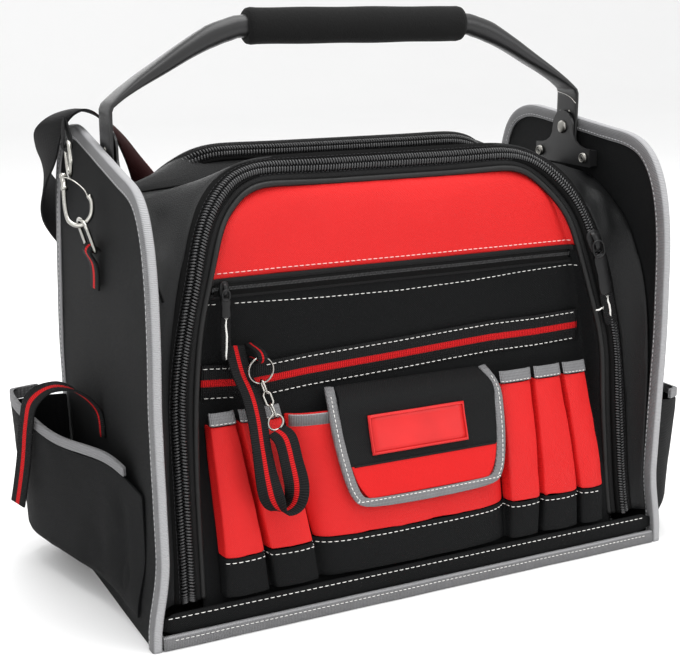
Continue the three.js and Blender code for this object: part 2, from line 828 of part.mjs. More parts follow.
function sidePocketWall(pocket) {
  const cut = 1 - (narrow_binding + seam_gap) / (pocket.mouth - waist_middle);
  const levels_up = [...side_levels.slice(0, -1), cut];
  return sheet(levels_up.map((share) =>
    pocket.folds.map((fold) => sidePocketPoint(pocket, fold, share))), side_pocket_cloth);
}

function sidePocketBinding(pocket) {
  const cut = 1 - narrow_binding / (pocket.mouth - waist_middle);
  return sheet([cut, 1].map((share) =>
    pocket.folds.slice(1, -1).map((fold) => sidePocketPoint(pocket, fold, share))), narrow_tape);
}

// The webbing that hangs over each side pocket's mouth: along and rise follow the pocket, out its fullness
const side_tape_route = [
  { along: 0.02, out: -1.0, rise: 0.86 },
  { along: 0.05, out: -0.97, rise: 1.0 },
  { along: 0.1, out: -0.66, rise: 1.1 },
  { along: 0.2, out: -0.28, rise: 1.13 },
  { along: 0.3, out: 0.02, rise: 1.05 },
  { along: 0.37, out: 0.14, rise: 0.9 },
  { along: 0.42, out: 0.2, rise: 0.68 },
  { along: 0.47, out: 0.28, rise: 0.5 },
  { along: 0.5, out: 0.34, rise: 0.4 },
];

function sideTape(pocket) {
  const path = side_tape_route.map((stop) => {
    const fold = { along: stop.along, rise: stop.rise };
    fold.out = column(pocket.folds, 'along', stop.along, 'out');
    const wall = sidePocketPoint(pocket, fold, 1);
    const height = stop.rise * pocket.mouth;
    const inside = onPanel(pocket.side, -webbing_thickness / 2 - clearance, wall.y, height);
    const beyond = wall.x + pocket.side * (side_tape_stand + Math.max(stop.out, 0) * side_tape_swing);
    return point(lerp(inside.x, beyond, Math.min(1 + stop.out, 1)), wall.y, inside.z);
  });
  const turn = (k) => pocket.side * side_tape_turn * Math.min(1, k / 4);
  return sweep(band(path, (k) => point(turn(k), 1, 0)), oblong(side_tape_width, webbing_thickness));
}

// The handle: a tube flattened towards its ends; shares of the half span and of the rise above the pivot
const lip_inside = bag_width / 2 - panelIn(pivot_height) - lip_depth;
const tab_half_span = lip_inside - tab_play - tab_thickness / 2;
const plate_outside = tab_half_span - tab_thickness / 2 - tab_play;
const handle_line = [
  { across: 1.0, rise: -tab_below_pivot / grip_rise, flat: 1.0 },
  { across: 1.0, rise: 0.0, flat: 1.0 },
  { across: 1.0, rise: 0.34, flat: 1.0 },
  { across: 0.975, rise: 0.42, flat: 0.85 },
  { across: 0.92, rise: 0.5, flat: 0.6 },
  { across: 0.82, rise: 0.635, flat: 0.3 },
  { across: 0.69, rise: 0.81, flat: 0.08 },
  { across: 0.6, rise: 0.915, flat: 0.0 },
  { across: 0.53, rise: 0.97, flat: 0.0 },
  { across: 0.46, rise: 1.0, flat: 0.0 },
];

function handleTube() {
  const half = handle_line.map((row) => ({
    at: point(-row.across * tab_half_span, 0, row.rise * grip_rise), flat: row.flat,
  }));
  const other = half.slice().reverse().map(({ at, flat }) => ({ at: point(-at.x, at.y, at.z), flat }));
  const stops = [...half, ...other];
  const frames = band(stops.map((stop) => stop.at), () => point(0, 1, 0));
  const rings = frames.map(({ at, across, out }, k) => round(1, 12).map(([a, b]) => {
    const wide = lerp(tube_diameter, tab_width, stops[k].flat);
    const thick = lerp(tube_diameter, tab_thickness, stops[k].flat ** 0.6);
    return at.clone().addScaledVector(across, a * wide).addScaledVector(out, b * thick);
  }));
  const fan = Array.from({ length: 10 }, (unused, k) => [0, k + 1, k + 2]);
  return fromSolid(solid(loft(rings, fan)).subtract(solid(pinHole())));
}

function cylinderAlongX(diameter, length, x, sides = 12) {
  const rod = new THREE.CylinderGeometry(diameter / 2, diameter / 2, length, sides);
  return rod.rotateZ(Math.PI / 2).translate(x, 0, 0);
}

function pinHole() {
  return cylinderAlongX(rivet_shank + 2 * clearance, bag_width, 0, 10);
}

function grip() {
  const half = grip_length / 2;
  const bore = tube_diameter / 2 + clearance;
  const outer = grip_diameter / 2;
  const profile = [
    [bore, -half], [outer - 2, -half], [outer, -half + 3],
    [outer, half - 3], [outer - 2, half], [bore, half], [bore, -half],
  ].map(([a, b]) => new THREE.Vector2(a, b));
  const sleeve = new THREE.LatheGeometry(profile, 14);
  return sleeve.rotateZ(Math.PI / 2).translate(0, 0, grip_rise);
}

// The bracket of the handle: a plate that stands off the inside of a panel on two square pads, each
// with its screw, and leaves room behind it for the handle's tab
function bracketPlate() {
  const half = bracket_half_span + bracket_ear;
  const [low, high] = [-bracket_drop - bracket_ear, -bracket_drop + bracket_ear];
  const round_top = tab_width / 2;
  const outline = new THREE.Shape();
  outline.moveTo(-half, low);
  outline.lineTo(half, low);
  outline.lineTo(half, high);
  outline.quadraticCurveTo(round_top, high, round_top, 0);
  outline.absarc(0, 0, round_top, 0, Math.PI, false);
  outline.quadraticCurveTo(-round_top, high, -half, high);
  outline.closePath();
  const plate = new THREE.ExtrudeGeometry(outline, {
    depth: bracket_thickness, bevelEnabled: false, curveSegments: 5,
  });
  return plate.applyMatrix4(new THREE.Matrix4().makeBasis(point(0, 1, 0), point(0, 0, 1), point(1, 0, 0)));
}

function bracket(side) {
  const stand = plate_outside - (lip_inside + lip_depth - panel_board - clearance);
  const reach = Math.abs(stand) + bite;
  const parts = [bracketPlate().translate(side > 0 ? -bracket_thickness : 0, 0, 0)];
  for (const way of [-1, 1]) {
    const screw = cylinderAlongX(screw_head, bracket_thickness + screw_rise, 0, 10);
    const pad = new THREE.BoxGeometry(reach, screw_pad, screw_pad);
    screw.translate((-side * (bracket_thickness + screw_rise)) / 2, way * bracket_half_span, -bracket_drop);
    parts.push(screw, pad.translate(side * (reach / 2 - bite), way * bracket_half_span, -bracket_drop));
  }
  const drilled = solid(join(...parts)).subtract(solid(pinHole()));
  const geometry = fromSolid(drilled);
  const shear = panel_lean / panel_height;
  const spots = geometry.attributes.position;
  for (let k = 0; k < spots.count; k += 1) {
    spots.setXYZ(k, spots.getX(k) + side * (plate_outside - shear * spots.getZ(k)),
      spots.getY(k) + handle_middle, spots.getZ(k) + pivot_height);
  }
  return geometry;
}

// The rivet that the handle turns on: a head inside the plate, a shank through the plate and the tab
function rivet(side) {
  const inner = plate_outside - bracket_thickness - clearance;
  const outer = lip_inside - clearance;
  const shank = cylinderAlongX(rivet_shank, outer - inner + bite, (side * (outer + inner - bite)) / 2, 10);
  const head = cylinderAlongX(rivet_head, rivet_rise, side * (inner - rivet_rise / 2), 12);
  return join(shank, head).translate(0, handle_middle, pivot_height);
}

// A closed loop of wire, measured along its middle, with its own roundness at the foot and the top
function wireLink(length, width, wire, sides = 6, steps = 5, foot = width / 2, top = width / 2) {
  const corners = [[1, 1, top, 0], [-1, 1, top, 1], [-1, -1, foot, 2], [1, -1, foot, 3]];
  const points = corners.flatMap(([right, up, radius, quarter]) => {
    const count = Math.max(2, Math.round(steps / 2) + 1);
    return Array.from({ length: count }, (unused, k) => {
      const angle = (Math.PI / 2) * (quarter + (k + 0.5) / count);
      const [x, z] = [right * (width / 2 - radius), up * (length / 2 - radius)];
      return point(x + radius * Math.cos(angle), 0, z + radius * Math.sin(angle));
    });
  });
  const count = points.length;
  const stops = points.map((at, k) => {
    const along = points[(k + 1) % count].clone().sub(points[(k - 1 + count) % count]).normalize();
    return { at, across: point(0, 1, 0), out: point(0, 1, 0).cross(along).normalize() };
  });
  return sweep(stops, round(wire, sides), true);
}

// Turns a shape drawn in X and Z so that its Z axis points up and its X axis leans across, at a place
function turned(geometry, across, up, at) {
  const z = up.clone().normalize();
  const x = across.clone().addScaledVector(z, -across.dot(z)).normalize();
  const y = z.clone().cross(x);
  return geometry.applyMatrix4(new THREE.Matrix4().makeBasis(x, y, z).setPosition(at));
}

// The webbing tab, the link and the snap hook on the outside of each end panel
const link_middle_y = -3;

function ringTab(side) {
  const face = (up) => bag_width / 2 - panelIn(ring_tab_height + up) + clearance + webbing_thickness / 2;
  const eye = link_wire / 2 + webbing_thickness / 2 + 3.2 * clearance;
  const path = [
    [0, -26], [0, -14], [0, -5], [0.6, 1], [0.6 + eye, 1 + eye], [0.6 + 2 * eye, 1],
    [2 * webbing_thickness, -7], [webbing_thickness + clearance, -15], [webbing_thickness + clearance, -26],
  ].map(([out, up]) => point(side * (face(Math.min(up, 0)) + out), link_middle_y, ring_tab_height + up));
  return sweep(band(path, () => point(0, 1, 0)), oblong(tab_webbing, webbing_thickness));
}

const tab_eye = point(bag_width / 2 - panelIn(ring_tab_height) + clearance + webbing_thickness / 2
  + 0.6 + link_wire / 2 + webbing_thickness / 2 + 3.2 * clearance, link_middle_y, ring_tab_height + 1);

// The left link and hook are drawn up by the strap; the right ones hang down
const hangs = {
  left: {
    side: -1, rise: point(-0.3, 0, 0.954), way: point(0.06, 0.45, 0.89), across: point(0.8, -0.6, 0),
  },
  right: {
    side: 1, rise: point(0.45, 0, -0.893), way: point(0.03, 0.5, -0.866), across: point(-0.8, -0.6, 0),
  },
};

// The middle of the wire at the far end of a link
function linkEnd({ side, rise }) {
  return point(side * tab_eye.x, tab_eye.y, tab_eye.z).addScaledVector(rise, link_length - link_wire);
}

function ringLink(hang) {
  const loop = wireLink(link_length - link_wire, link_width, link_wire, 6, 5, 2, 10);
  const middle = linkEnd(hang).addScaledVector(hang.rise, (link_wire - link_length) / 2);
  return turned(loop, point(0, 1, 0), hang.rise, middle);
}

function hookFoot(hang) {
  return linkEnd(hang).addScaledVector(hang.way, -(link_wire + hook_wire) / 2 - hook_play);
}

const hook_eye_wire = hook_wire - 0.4;

// The snap hook in its own plane: a hooked wire body, a collar, an eye for the strap and a flat spring
function snapHook(hang) {
  const half = hook_width / 2;
  const bodyPath = new THREE.CatmullRomCurve3([
    point(half - 1.5, 0, 20), point(half, 0, 14), point(half - 2, 0, 5), point(0, 0, 0),
    point(-half + 2, 0, 4), point(-half, 0, 12), point(-half, 0, 24), point(-half + 1, 0, 38),
  ]);
  const wireStops = band(bodyPath.getPoints(14), () => point(0, 1, 0));
  const hooked = sweep(wireStops, round(hook_wire, 6));
  const collar = new THREE.CylinderGeometry(hook_wire * 0.72, hook_wire * 0.72, 11, 8);
  collar.rotateX(Math.PI / 2).translate(-half + 0.6, 0, 33);
  const eye = wireLink(hook_eye_length, hook_eye_width, hook_eye_wire, 6, 4, hook_eye_width / 2, hook_eye_round);
  eye.translate(-half + hook_eye_shift, 0, hook_length - hook_eye_length / 2 - 1);
  const springLine = [[-half + 1, 36], [-2, 33], [half - 3.5, 23], [half - 1.8, 18]];
  const springPath = springLine.map(([x, z]) => point(x, 0, z));
  const spring = sweep(band(springPath, () => point(0, 1, 0)), oblong(3.6, 1));
  return turned(join(hooked, collar, eye, spring), hang.across, hang.way, hookFoot(hang));
}

// The shoulder strap: its end hangs inside the left panel, and it goes over the panel's top, down round
// its rear edge, behind the bag and round to the right hook. Across is a share of half bag_width, back of
// panel_rear and rise of panel_height; lean is the turn of its width in plan, roll how far the width
// stands up, both in radians
const strap_route = [
  { across: -0.548, back: 0.98, rise: 0.675, lean: 0.1, roll: -0.2 },
  { across: -0.581, back: 0.963, rise: 0.76, lean: 0.25, roll: -0.3 },
  { across: -0.629, back: 0.917, rise: 0.843, lean: 0.5, roll: -0.35 },
  { across: -0.7, back: 0.833, rise: 0.913, lean: 0.85, roll: -0.3 },
  { across: -0.771, back: 0.713, rise: 0.967, lean: 1.1, roll: -0.15 },
  { across: -0.843, back: 0.602, rise: 1.006, lean: 1.3, roll: -0.05 },
  { across: -0.91, back: 0.519, rise: 1.027, lean: 1.5, roll: -0.05 },
  { across: -0.971, back: 0.481, rise: 1.027, lean: 1.7, roll: -0.12 },
  { across: -1.014, back: 0.528, rise: 1.009, lean: 1.8, roll: -0.12 },
  { across: -1.029, back: 0.648, rise: 0.976, lean: 1.8, roll: 0.0 },
  { across: -1.017, back: 0.815, rise: 0.925, lean: 1.65, roll: 0.15 },
  { across: -1.0, back: 1.0, rise: 0.87, lean: 1.3, roll: 0.3 },
  { across: -0.975, back: 1.11, rise: 0.816, lean: 0.95, roll: 0.5 },
  { across: -0.914, back: 1.16, rise: 0.767, lean: 0.5, roll: 0.6 },
  { across: -0.819, back: 1.139, rise: 0.699, lean: 0.15, roll: 0.8 },
  { across: -0.714, back: 1.13, rise: 0.617, lean: 0.0, roll: 0.85 },
  { across: -0.605, back: 1.12, rise: 0.521, lean: 0.0, roll: 0.8 },
  { across: -0.51, back: 1.12, rise: 0.416, lean: 0.0, roll: 0.65 },
  { across: -0.4, back: 1.12, rise: 0.301, lean: 0.0, roll: 0.8 },
  { across: -0.262, back: 1.12, rise: 0.2, lean: 0.0, roll: 1.1 },
  { across: -0.1, back: 1.12, rise: 0.143, lean: 0.0, roll: 1.4 },
  { across: 0.09, back: 1.12, rise: 0.136, lean: 0.0, roll: 1.65 },
  { across: 0.275, back: 1.12, rise: 0.166, lean: 0.0, roll: 1.9 },
  { across: 0.44, back: 1.12, rise: 0.222, lean: 0.0, roll: 2.05 },
  { across: 0.59, back: 1.12, rise: 0.295, lean: 0.0, roll: 2.12 },
  { across: 0.72, back: 1.12, rise: 0.38, lean: 0.0, roll: 2.12 },
  { across: 0.845, back: 1.148, rise: 0.452, lean: 0.0, roll: 1.95 },
  { across: 0.952, back: 1.12, rise: 0.494, lean: -0.3, roll: 1.78 },
  { across: 1.019, back: 1.0, rise: 0.515, lean: -1.2, roll: 1.62 },
  { across: 1.033, back: 0.796, rise: 0.524, lean: -1.5, roll: 1.57 },
  { across: 1.033, back: 0.574, rise: 0.527, lean: -1.5, roll: 1.57 },
  { across: 1.033, back: 0.37, rise: 0.53, lean: -1.5, roll: 1.57 },
];

// The middle line of the strap with the direction of its width
const strap_stops = strap_route.map(({ across, back, rise, lean, roll }) => ({
  at: point((across * bag_width) / 2, back * panel_rear, rise * panel_height),
  width: point(Math.cos(lean) * Math.cos(roll), Math.sin(lean) * Math.cos(roll), Math.sin(roll)),
}));

function ribbon(stops, width, thickness) {
  return sweep(band(stops.map(({ at }) => at), (k) => stops[k].width), oblong(width, thickness));
}

// The narrow end of the strap that goes through the eye of a hook; near is the place that it leaves
function strapEye(hang, near) {
  const z = hang.way.clone().normalize();
  const x = hang.across.clone().addScaledVector(z, -hang.across.dot(z)).normalize();
  const wire = hookFoot(hang).addScaledVector(z, hook_length - 1);
  wire.addScaledVector(x, hook_eye_shift - hook_width / 2);
  const u = near.clone().sub(wire);
  u.addScaledVector(x, -u.dot(x)).normalize();
  const v = u.clone().cross(x);
  const round_wire = (hook_eye_wire + strap_eye_thickness) / 2 + clearance;
  const leg = strap_eye_thickness / 2 + 0.25 * clearance;
  const root = near.clone().addScaledVector(u, 0.2 * strap_width);
  const path = [
    root.clone().addScaledVector(v, leg),
    wire.clone().addScaledVector(u, round_wire).addScaledVector(v, round_wire),
    wire.clone().addScaledVector(u, -0.4 * round_wire).addScaledVector(v, round_wire),
    wire.clone().addScaledVector(u, -1.15 * round_wire),
    wire.clone().addScaledVector(u, -0.4 * round_wire).addScaledVector(v, -round_wire),
    wire.clone().addScaledVector(u, round_wire).addScaledVector(v, -round_wire),
    root.clone().addScaledVector(v, -leg),
  ];
  return sweep(band(path, () => x), oblong(strap_eye_width, strap_eye_thickness));
}

function shoulderStrap() {
  const saddle = strap_stops[strap_eye_stop];
  const leftEnd = saddle.at.clone().addScaledVector(saddle.width, -0.26 * strap_width);
  const last = strap_stops.at(-1).at;
  return join(ribbon(strap_stops, strap_width, strap_thickness), strapEye(hangs.left, leftEnd),
    strapEye(hangs.right, last.clone().add(point(0, 2 * clearance, 0))));
}

// The key ring, its chain and the wrist loop on the front
const key_at = point(key_inset - door_half, doorReach(webbing_height) - key_stand,
  webbing_height + key_lift);

function keyTab() {
  const eye = key_wire / 2 + 1.8 + wrist_thickness / 2;
  const top = key_at.z + key_ring_diameter / 2 - key_wire / 2;
  const seat = doorReach(top) - cloth / 2 - clearance;
  const path = [
    [seat, top + 5], [seat - 5, top + 4.5], [key_at.y + 1, top + eye], [key_at.y - eye, top],
    [key_at.y + 0.5, top - eye], [seat - 5, top - 4.5], [seat, top - 5],
  ].map(([y, z]) => point(key_at.x, y, z));
  return sweep(band(path, () => point(1, 0, 0)), oblong(key_tab_width, key_tab_thickness));
}

function ring(diameter, wire) {
  return new THREE.TorusGeometry(diameter / 2 - wire / 2, wire / 2, 6, 14).rotateX(Math.PI / 2);
}

const swivel_at = key_at.clone().add(point(6, -10, -35));

function keyChain() {
  const wire = 1.5;
  const hang = (key_wire + wire) / 2 + 0.5;
  const top = key_at.clone().add(point(0, 0, hang - (key_ring_diameter - key_wire) / 2));
  const bottom = swivel_at.clone().add(point(0, 0, (swivel_ring_diameter - key_wire) / 2 - hang));
  const along = bottom.clone().sub(top);
  const links = 3;
  const hooked = 0.8 * wire;
  const pitch = (along.length() - hooked) / links;
  const way = along.clone().normalize();
  const parts = Array.from({ length: links }, (unused, k) => {
    const middle = top.clone().addScaledVector(way, pitch * k + (pitch + hooked) / 2);
    const across = k % 2 ? point(1, 0, 0) : point(0, 1, 0);
    return turned(wireLink(pitch + hooked, 5.4, wire, 5, 3), across, way, middle);
  });
  return join(...parts);
}

// The wrist loop's middle line from the key ring, and the turn of its width in plan
const wrist_route = [
  { right: -13, back: 15.1, up: 15, lean: 0.38 }, { right: -12.5, back: 4.9, up: -1, lean: 0.38 },
  { right: -9, back: -3.1, up: -15, lean: 0.38 }, { right: -8.5, back: -12.1, up: -29, lean: 0.38 },
  { right: -8.5, back: -20.1, up: -50, lean: 0.36 }, { right: -7.5, back: -27.1, up: -71, lean: 0.0 },
  { right: -4.5, back: -31.1, up: -84, lean: -0.7 }, { right: 2, back: -33.1, up: -90.5, lean: -1.35 },
  { right: 9.5, back: -32.1, up: -87, lean: -1.0 }, { right: 12.5, back: -30.1, up: -76, lean: -0.45 },
  { right: 11.5, back: -24.1, up: -60, lean: 0.0 }, { right: 9.5, back: -18.6, up: -45, lean: 0.0 },
];

function wristLoop() {
  const stops = wrist_route.map(({ right, back, up, lean }) => ({
    at: key_at.clone().add(point(right, back, up)), width: point(Math.cos(lean), Math.sin(lean), 0),
  }));
  return ribbon(stops, wrist_width, wrist_thickness);
}

// A zip slider with its pull, drawn hanging down from its place
function slider(width, pull) {
  const top = new THREE.BoxGeometry(width, slider_height, width * 1.5).translate(0, -slider_height / 2, 0);
  const bail = wireLink(width * 1.1, width * 0.55, pull_thickness, 5, 3);
  bail.rotateX(-0.25).translate(0, -2 * pull_thickness, -width * 0.75);
  const tongue = new THREE.BoxGeometry(width * 0.8, pull_thickness, pull);
  return join(top, bail, tongue.translate(0, -slider_height - 0.75 * pull_thickness, -width - pull / 2));
}

// The pieces in their places
for (const [word, side] of [['left', -1], ['right', 1]]) {
  place(`end_panel_${word}`, 'black_cloth', endPanel(side));
  place(`panel_binding_${word}`, 'grey_tape', panelBinding(side));
  place(`handle_bracket_${word}`, 'black_steel', bracket(side));
  place(`handle_rivet_${word}`, 'bright_steel', rivet(side));
  place(`ring_tab_${word}`, 'black_webbing', ringTab(side));
  place(`ring_link_${word}`, 'bright_steel', ringLink(hangs[word]));
  place(`snap_hook_${word}`, 'bright_steel', snapHook(hangs[word]));
}

place('base_board', 'black_cloth', baseBoard());
place('base_strip_front', 'black_cloth', baseStrip());
place('base_strip_rear', 'black_cloth', toRear(baseStrip()));
place('base_binding_front', 'grey_tape', baseBinding());
place('gusset_front', 'black_cloth', gusset());
place('gusset_rear', 'black_cloth', toRear(gusset()));
place('top_panel', 'black_cloth', topPanel());
place('zip_front', 'black_zip', zipBand());
place('zip_rear', 'black_zip', toRear(zipBand()));
place('door_front', 'black_cloth', lowerDoor());
place('crown_front', 'red_cloth', crown());
place('door_rear', 'black_cloth', rearDoor());
place('zip_slit', 'black_zip', onDoor(slit_height - slit_width / 2, slit_height + slit_width / 2,
  door_half - slit_margin, clearance, slit_thickness));
place('webbing_band', 'black_webbing',
  onDoor(webbing_height - webbing_width / 2, webbing_height + webbing_width / 2, door_half, 2 * clearance,
    webbing_thickness, (share) => column(webbing_sag, 'at', share, 'rise') * webbing_width));

place('pocket_boots', 'black_cloth', pocketBoots());
for (const pocket of pocket_row) {
  place(pocket.name, 'red_cloth', pocketWall(pocket));
  if (pocket !== middle_pocket) {
    place(pocket.name.replace('pocket', 'pocket_binding'), 'grey_tape', pocketBinding(pocket));
  }
}
place('flap', 'black_cloth', flapCloth());
place('flap_binding', 'grey_tape', flapBinding());
place('flap_patch', 'red_rubber', patch());

place('key_tab', 'black_webbing', keyTab());
place('key_ring', 'bright_steel', ring(key_ring_diameter, key_wire).translate(...key_at));
place('key_chain', 'bright_steel', keyChain());
place('swivel_ring', 'bright_steel', ring(swivel_ring_diameter, key_wire).translate(...swivel_at));
place('wrist_loop', 'black_webbing', wristLoop());

for (const pocket of side_pockets) {
  place(pocket.name, 'black_cloth', sidePocketWall(pocket));
  place(pocket.name.replace('pocket', 'binding'), 'grey_tape', sidePocketBinding(pocket));
  place(pocket.name.replace('pocket', 'tape'), 'black_webbing', sideTape(pocket));
}

// The big sliders ride on the coil at the right shoulder of each arch
function archSlider() {
  const stop = arch[arch.length - 6];
  const seat = stop.at.clone().addScaledVector(stop.out, cloth / 2 + coil_height + clearance);
  const up = point(0, stop.out.z, -stop.out.y);
  return turned(slider(slider_width, slider_pull), point(1, 0, 0), up, seat);
}

place('slider_front', 'black_zip', archSlider());
place('slider_rear', 'black_zip', toRear(archSlider()));
place('slider_slit', 'black_zip', slider(slit_slider_width, slit_slider_pull).translate(
  1.5 * slit_margin - door_half,
  doorReach(slit_height) - cloth / 2 - slit_thickness - 2 * clearance, slit_height));
place('shoulder_strap', 'black_webbing', shoulderStrap());

// The handle turns about the line through both rivets
const handle = new THREE.Group();
handle.position.set(0, handle_middle, pivot_height);
place('handle_tube', 'black_steel', handleTube(), handle);
place('handle_grip', 'black_foam', grip(), handle);
bag.add(handle);

export default bag;
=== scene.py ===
"""The looks of the tool bag: cloth, webbing, zips, stitches, metal and the studio round it."""

import math

import bmesh
import bpy
from mathutils import Matrix, Vector, noise
from mathutils.bvhtree import BVHTree


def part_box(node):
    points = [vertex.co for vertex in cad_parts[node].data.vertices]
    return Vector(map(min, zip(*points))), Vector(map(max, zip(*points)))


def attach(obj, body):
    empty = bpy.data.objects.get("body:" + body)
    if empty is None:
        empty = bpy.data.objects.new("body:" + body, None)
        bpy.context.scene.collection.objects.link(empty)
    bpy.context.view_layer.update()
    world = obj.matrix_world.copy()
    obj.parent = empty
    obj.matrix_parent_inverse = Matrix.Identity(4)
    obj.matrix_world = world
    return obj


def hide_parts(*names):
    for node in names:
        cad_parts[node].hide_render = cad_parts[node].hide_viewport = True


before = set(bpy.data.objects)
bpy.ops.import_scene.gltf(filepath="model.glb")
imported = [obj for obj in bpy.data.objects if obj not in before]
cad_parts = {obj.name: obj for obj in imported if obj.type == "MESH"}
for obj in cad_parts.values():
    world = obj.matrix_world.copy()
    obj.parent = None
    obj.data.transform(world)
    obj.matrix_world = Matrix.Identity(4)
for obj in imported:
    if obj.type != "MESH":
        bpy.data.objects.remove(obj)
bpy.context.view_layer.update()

# The photograph's frame and the place of its camera, in pixels, millimetres and radians
PHOTO_WIDTH, PHOTO_HEIGHT = 680, 670
FOCAL_PIXELS = 1323.5
MIDDLE_X, MIDDLE_Y = 337.8, 326.9
CAMERA_AT = (-456.5, -881.5, 425.9)
CAMERA_YAW = 0.462535
CAMERA_PITCH = 0.250012
CAMERA_ROLL = -0.0019
SENSOR = 36.0

# Sizes in millimetres that the frame's nodes were built to
MM = 0.001
PANEL_HALF = 210
TAPE_OUTSIDE = 7
COIL_WIDTH = 8.8
COIL_PITCH = 2.1
CLOTH = 2
STITCH_LONG = 3.1
STITCH_GAP = 1.5
STITCH_WIDE = 0.62

FRONT = Vector((0, 1, 0))
UP = Vector((0, 0, 1))


def camera():
    """The camera of the photograph."""
    yaw, pitch = CAMERA_YAW, CAMERA_PITCH
    ahead = Vector((math.sin(yaw) * math.cos(pitch), math.cos(yaw) * math.cos(pitch), -math.sin(pitch)))
    right = Vector((math.cos(yaw), -math.sin(yaw), 0))
    turn = Matrix.Rotation(CAMERA_ROLL, 3, ahead)
    right = turn @ right
    over = right.cross(ahead)
    data = bpy.data.cameras.new("camera")
    data.sensor_width = SENSOR
    data.lens = SENSOR * FOCAL_PIXELS / PHOTO_WIDTH
    data.shift_x = (PHOTO_WIDTH / 2 - MIDDLE_X) / PHOTO_WIDTH
    data.shift_y = (MIDDLE_Y - PHOTO_HEIGHT / 2) / PHOTO_WIDTH
    data.clip_start, data.clip_end = 0.01, 20
    eye = bpy.data.objects.new("camera", data)
    rows = [[right[k], over[k], -ahead[k], CAMERA_AT[k] * MM] for k in range(3)]
    eye.matrix_world = Matrix([*rows, [0, 0, 0, 1]])
    bpy.context.scene.collection.objects.link(eye)
    bpy.context.scene.camera = eye


# Materials


class Finish:
    """A material's nodes, joined up one after another."""

    def __init__(self, name):
        self.material = bpy.data.materials.new(name)
        self.material.use_nodes = True
        self.tree = self.material.node_tree
        self.shader = self.tree.nodes["Principled BSDF"]

    def node(self, kind, inputs=(), **settings):
        made = self.tree.nodes.new(kind)
        for key, value in settings.items():
            setattr(made, key, value)
        for k, value in enumerate(inputs):
            self.feed(made.inputs[k], value)
        return made

    def feed(self, socket, value):
        if isinstance(value, bpy.types.NodeSocket):
            self.tree.links.new(value, socket)
        elif value is not None:
            socket.default_value = value

    def math(self, operation, *values):
        return self.node("ShaderNodeMath", values, operation=operation).outputs[0]

    def blend(self, share, first, second):
        mixer = self.node("ShaderNodeMix", data_type="RGBA")
        self.feed(mixer.inputs[0], share)
        self.feed(mixer.inputs[6], first)
        self.feed(mixer.inputs[7], second)
        return mixer.outputs[2]

    def band(self, value, low, high, to_low=0.0, to_high=1.0):
        ranger = self.node("ShaderNodeMapRange", (value, low, high, to_low, to_high))
        return ranger.outputs[0]

    def place(self, kind="Object"):
        spot = self.node("ShaderNodeTexCoord").outputs[kind]
        parts = self.node("ShaderNodeSeparateXYZ", (spot,)).outputs
        return spot, parts

    def noise(self, spot, scale, detail=2.0, rough=0.5):
        made = self.node("ShaderNodeTexNoise")
        self.feed(made.inputs["Vector"], spot)
        made.inputs["Scale"].default_value = scale
        made.inputs["Detail"].default_value = detail
        made.inputs["Roughness"].default_value = rough
        return made.outputs["Fac"]

    def bump(self, height, distance, strength=1.0):
        made = self.node("ShaderNodeBump")
        made.inputs["Strength"].default_value = strength
        made.inputs["Distance"].default_value = distance
        self.feed(made.inputs["Height"], height)
        self.feed(self.shader.inputs["Normal"], made.outputs[0])

    def surface(self, color, roughness, metal=0.0, sheen=0.0, specular=0.5, sheen_rough=0.5):
        self.feed(self.shader.inputs["Base Color"], color)
        self.feed(self.shader.inputs["Roughness"], roughness)
        self.shader.inputs["Metallic"].default_value = metal
        self.shader.inputs["Sheen Weight"].default_value = sheen
        self.shader.inputs["Sheen Roughness"].default_value = sheen_rough
        self.shader.inputs["Specular IOR Level"].default_value = specular


def rgb(red, green, blue):
    return (red, green, blue, 1.0)


def threads(finish, first, second, pitch):
    """The height of a plain weave of that pitch in millimetres, from two coordinates in metres."""
    turns = 2 * math.pi / (pitch * MM)
    waves = [finish.math("SINE", finish.math("MULTIPLY", value, turns)) for value in (first, second)]
    return finish.math("MULTIPLY", *waves)


def cloth(name, color, plane, pitch=1.3, roughness=0.72, sheen=0.0, specular=0.12, depth=0.16, spread=0.22):
    """Woven cloth lying mostly in one plane: front, side or top, or matt cloth lying all ways."""
    finish = Finish(name)
    spot, (x, y, z) = finish.place()
    if plane == "any":
        weave = finish.band(finish.noise(spot, 1500.0, 2.0), 0.25, 0.75, -1.0, 1.0)
    else:
        first, second = {"front": (x, z), "side": (y, z), "top": (x, y)}[plane]
        weave = threads(finish, first, second, pitch)
    cloudy = finish.noise(spot, 18.0, 3.0)
    fuzz = finish.noise(spot, 900.0, 2.0)
    dark = rgb(*(channel * (1 - spread) for channel in color))
    light = rgb(*(min(1.0, channel * (1 + spread)) for channel in color))
    shade = finish.math("ADD", finish.band(weave, -1.0, 1.0, 0.1, 0.6), finish.math("MULTIPLY", cloudy, 0.4))
    finish.surface(finish.blend(shade, dark, light), finish.band(fuzz, 0.2, 0.8, roughness - 0.08, roughness + 0.1),
                   sheen=sheen, specular=specular)
    height = finish.math("ADD", weave, finish.math("MULTIPLY", fuzz, 0.8))
    finish.bump(height, depth * MM)
    return finish.material


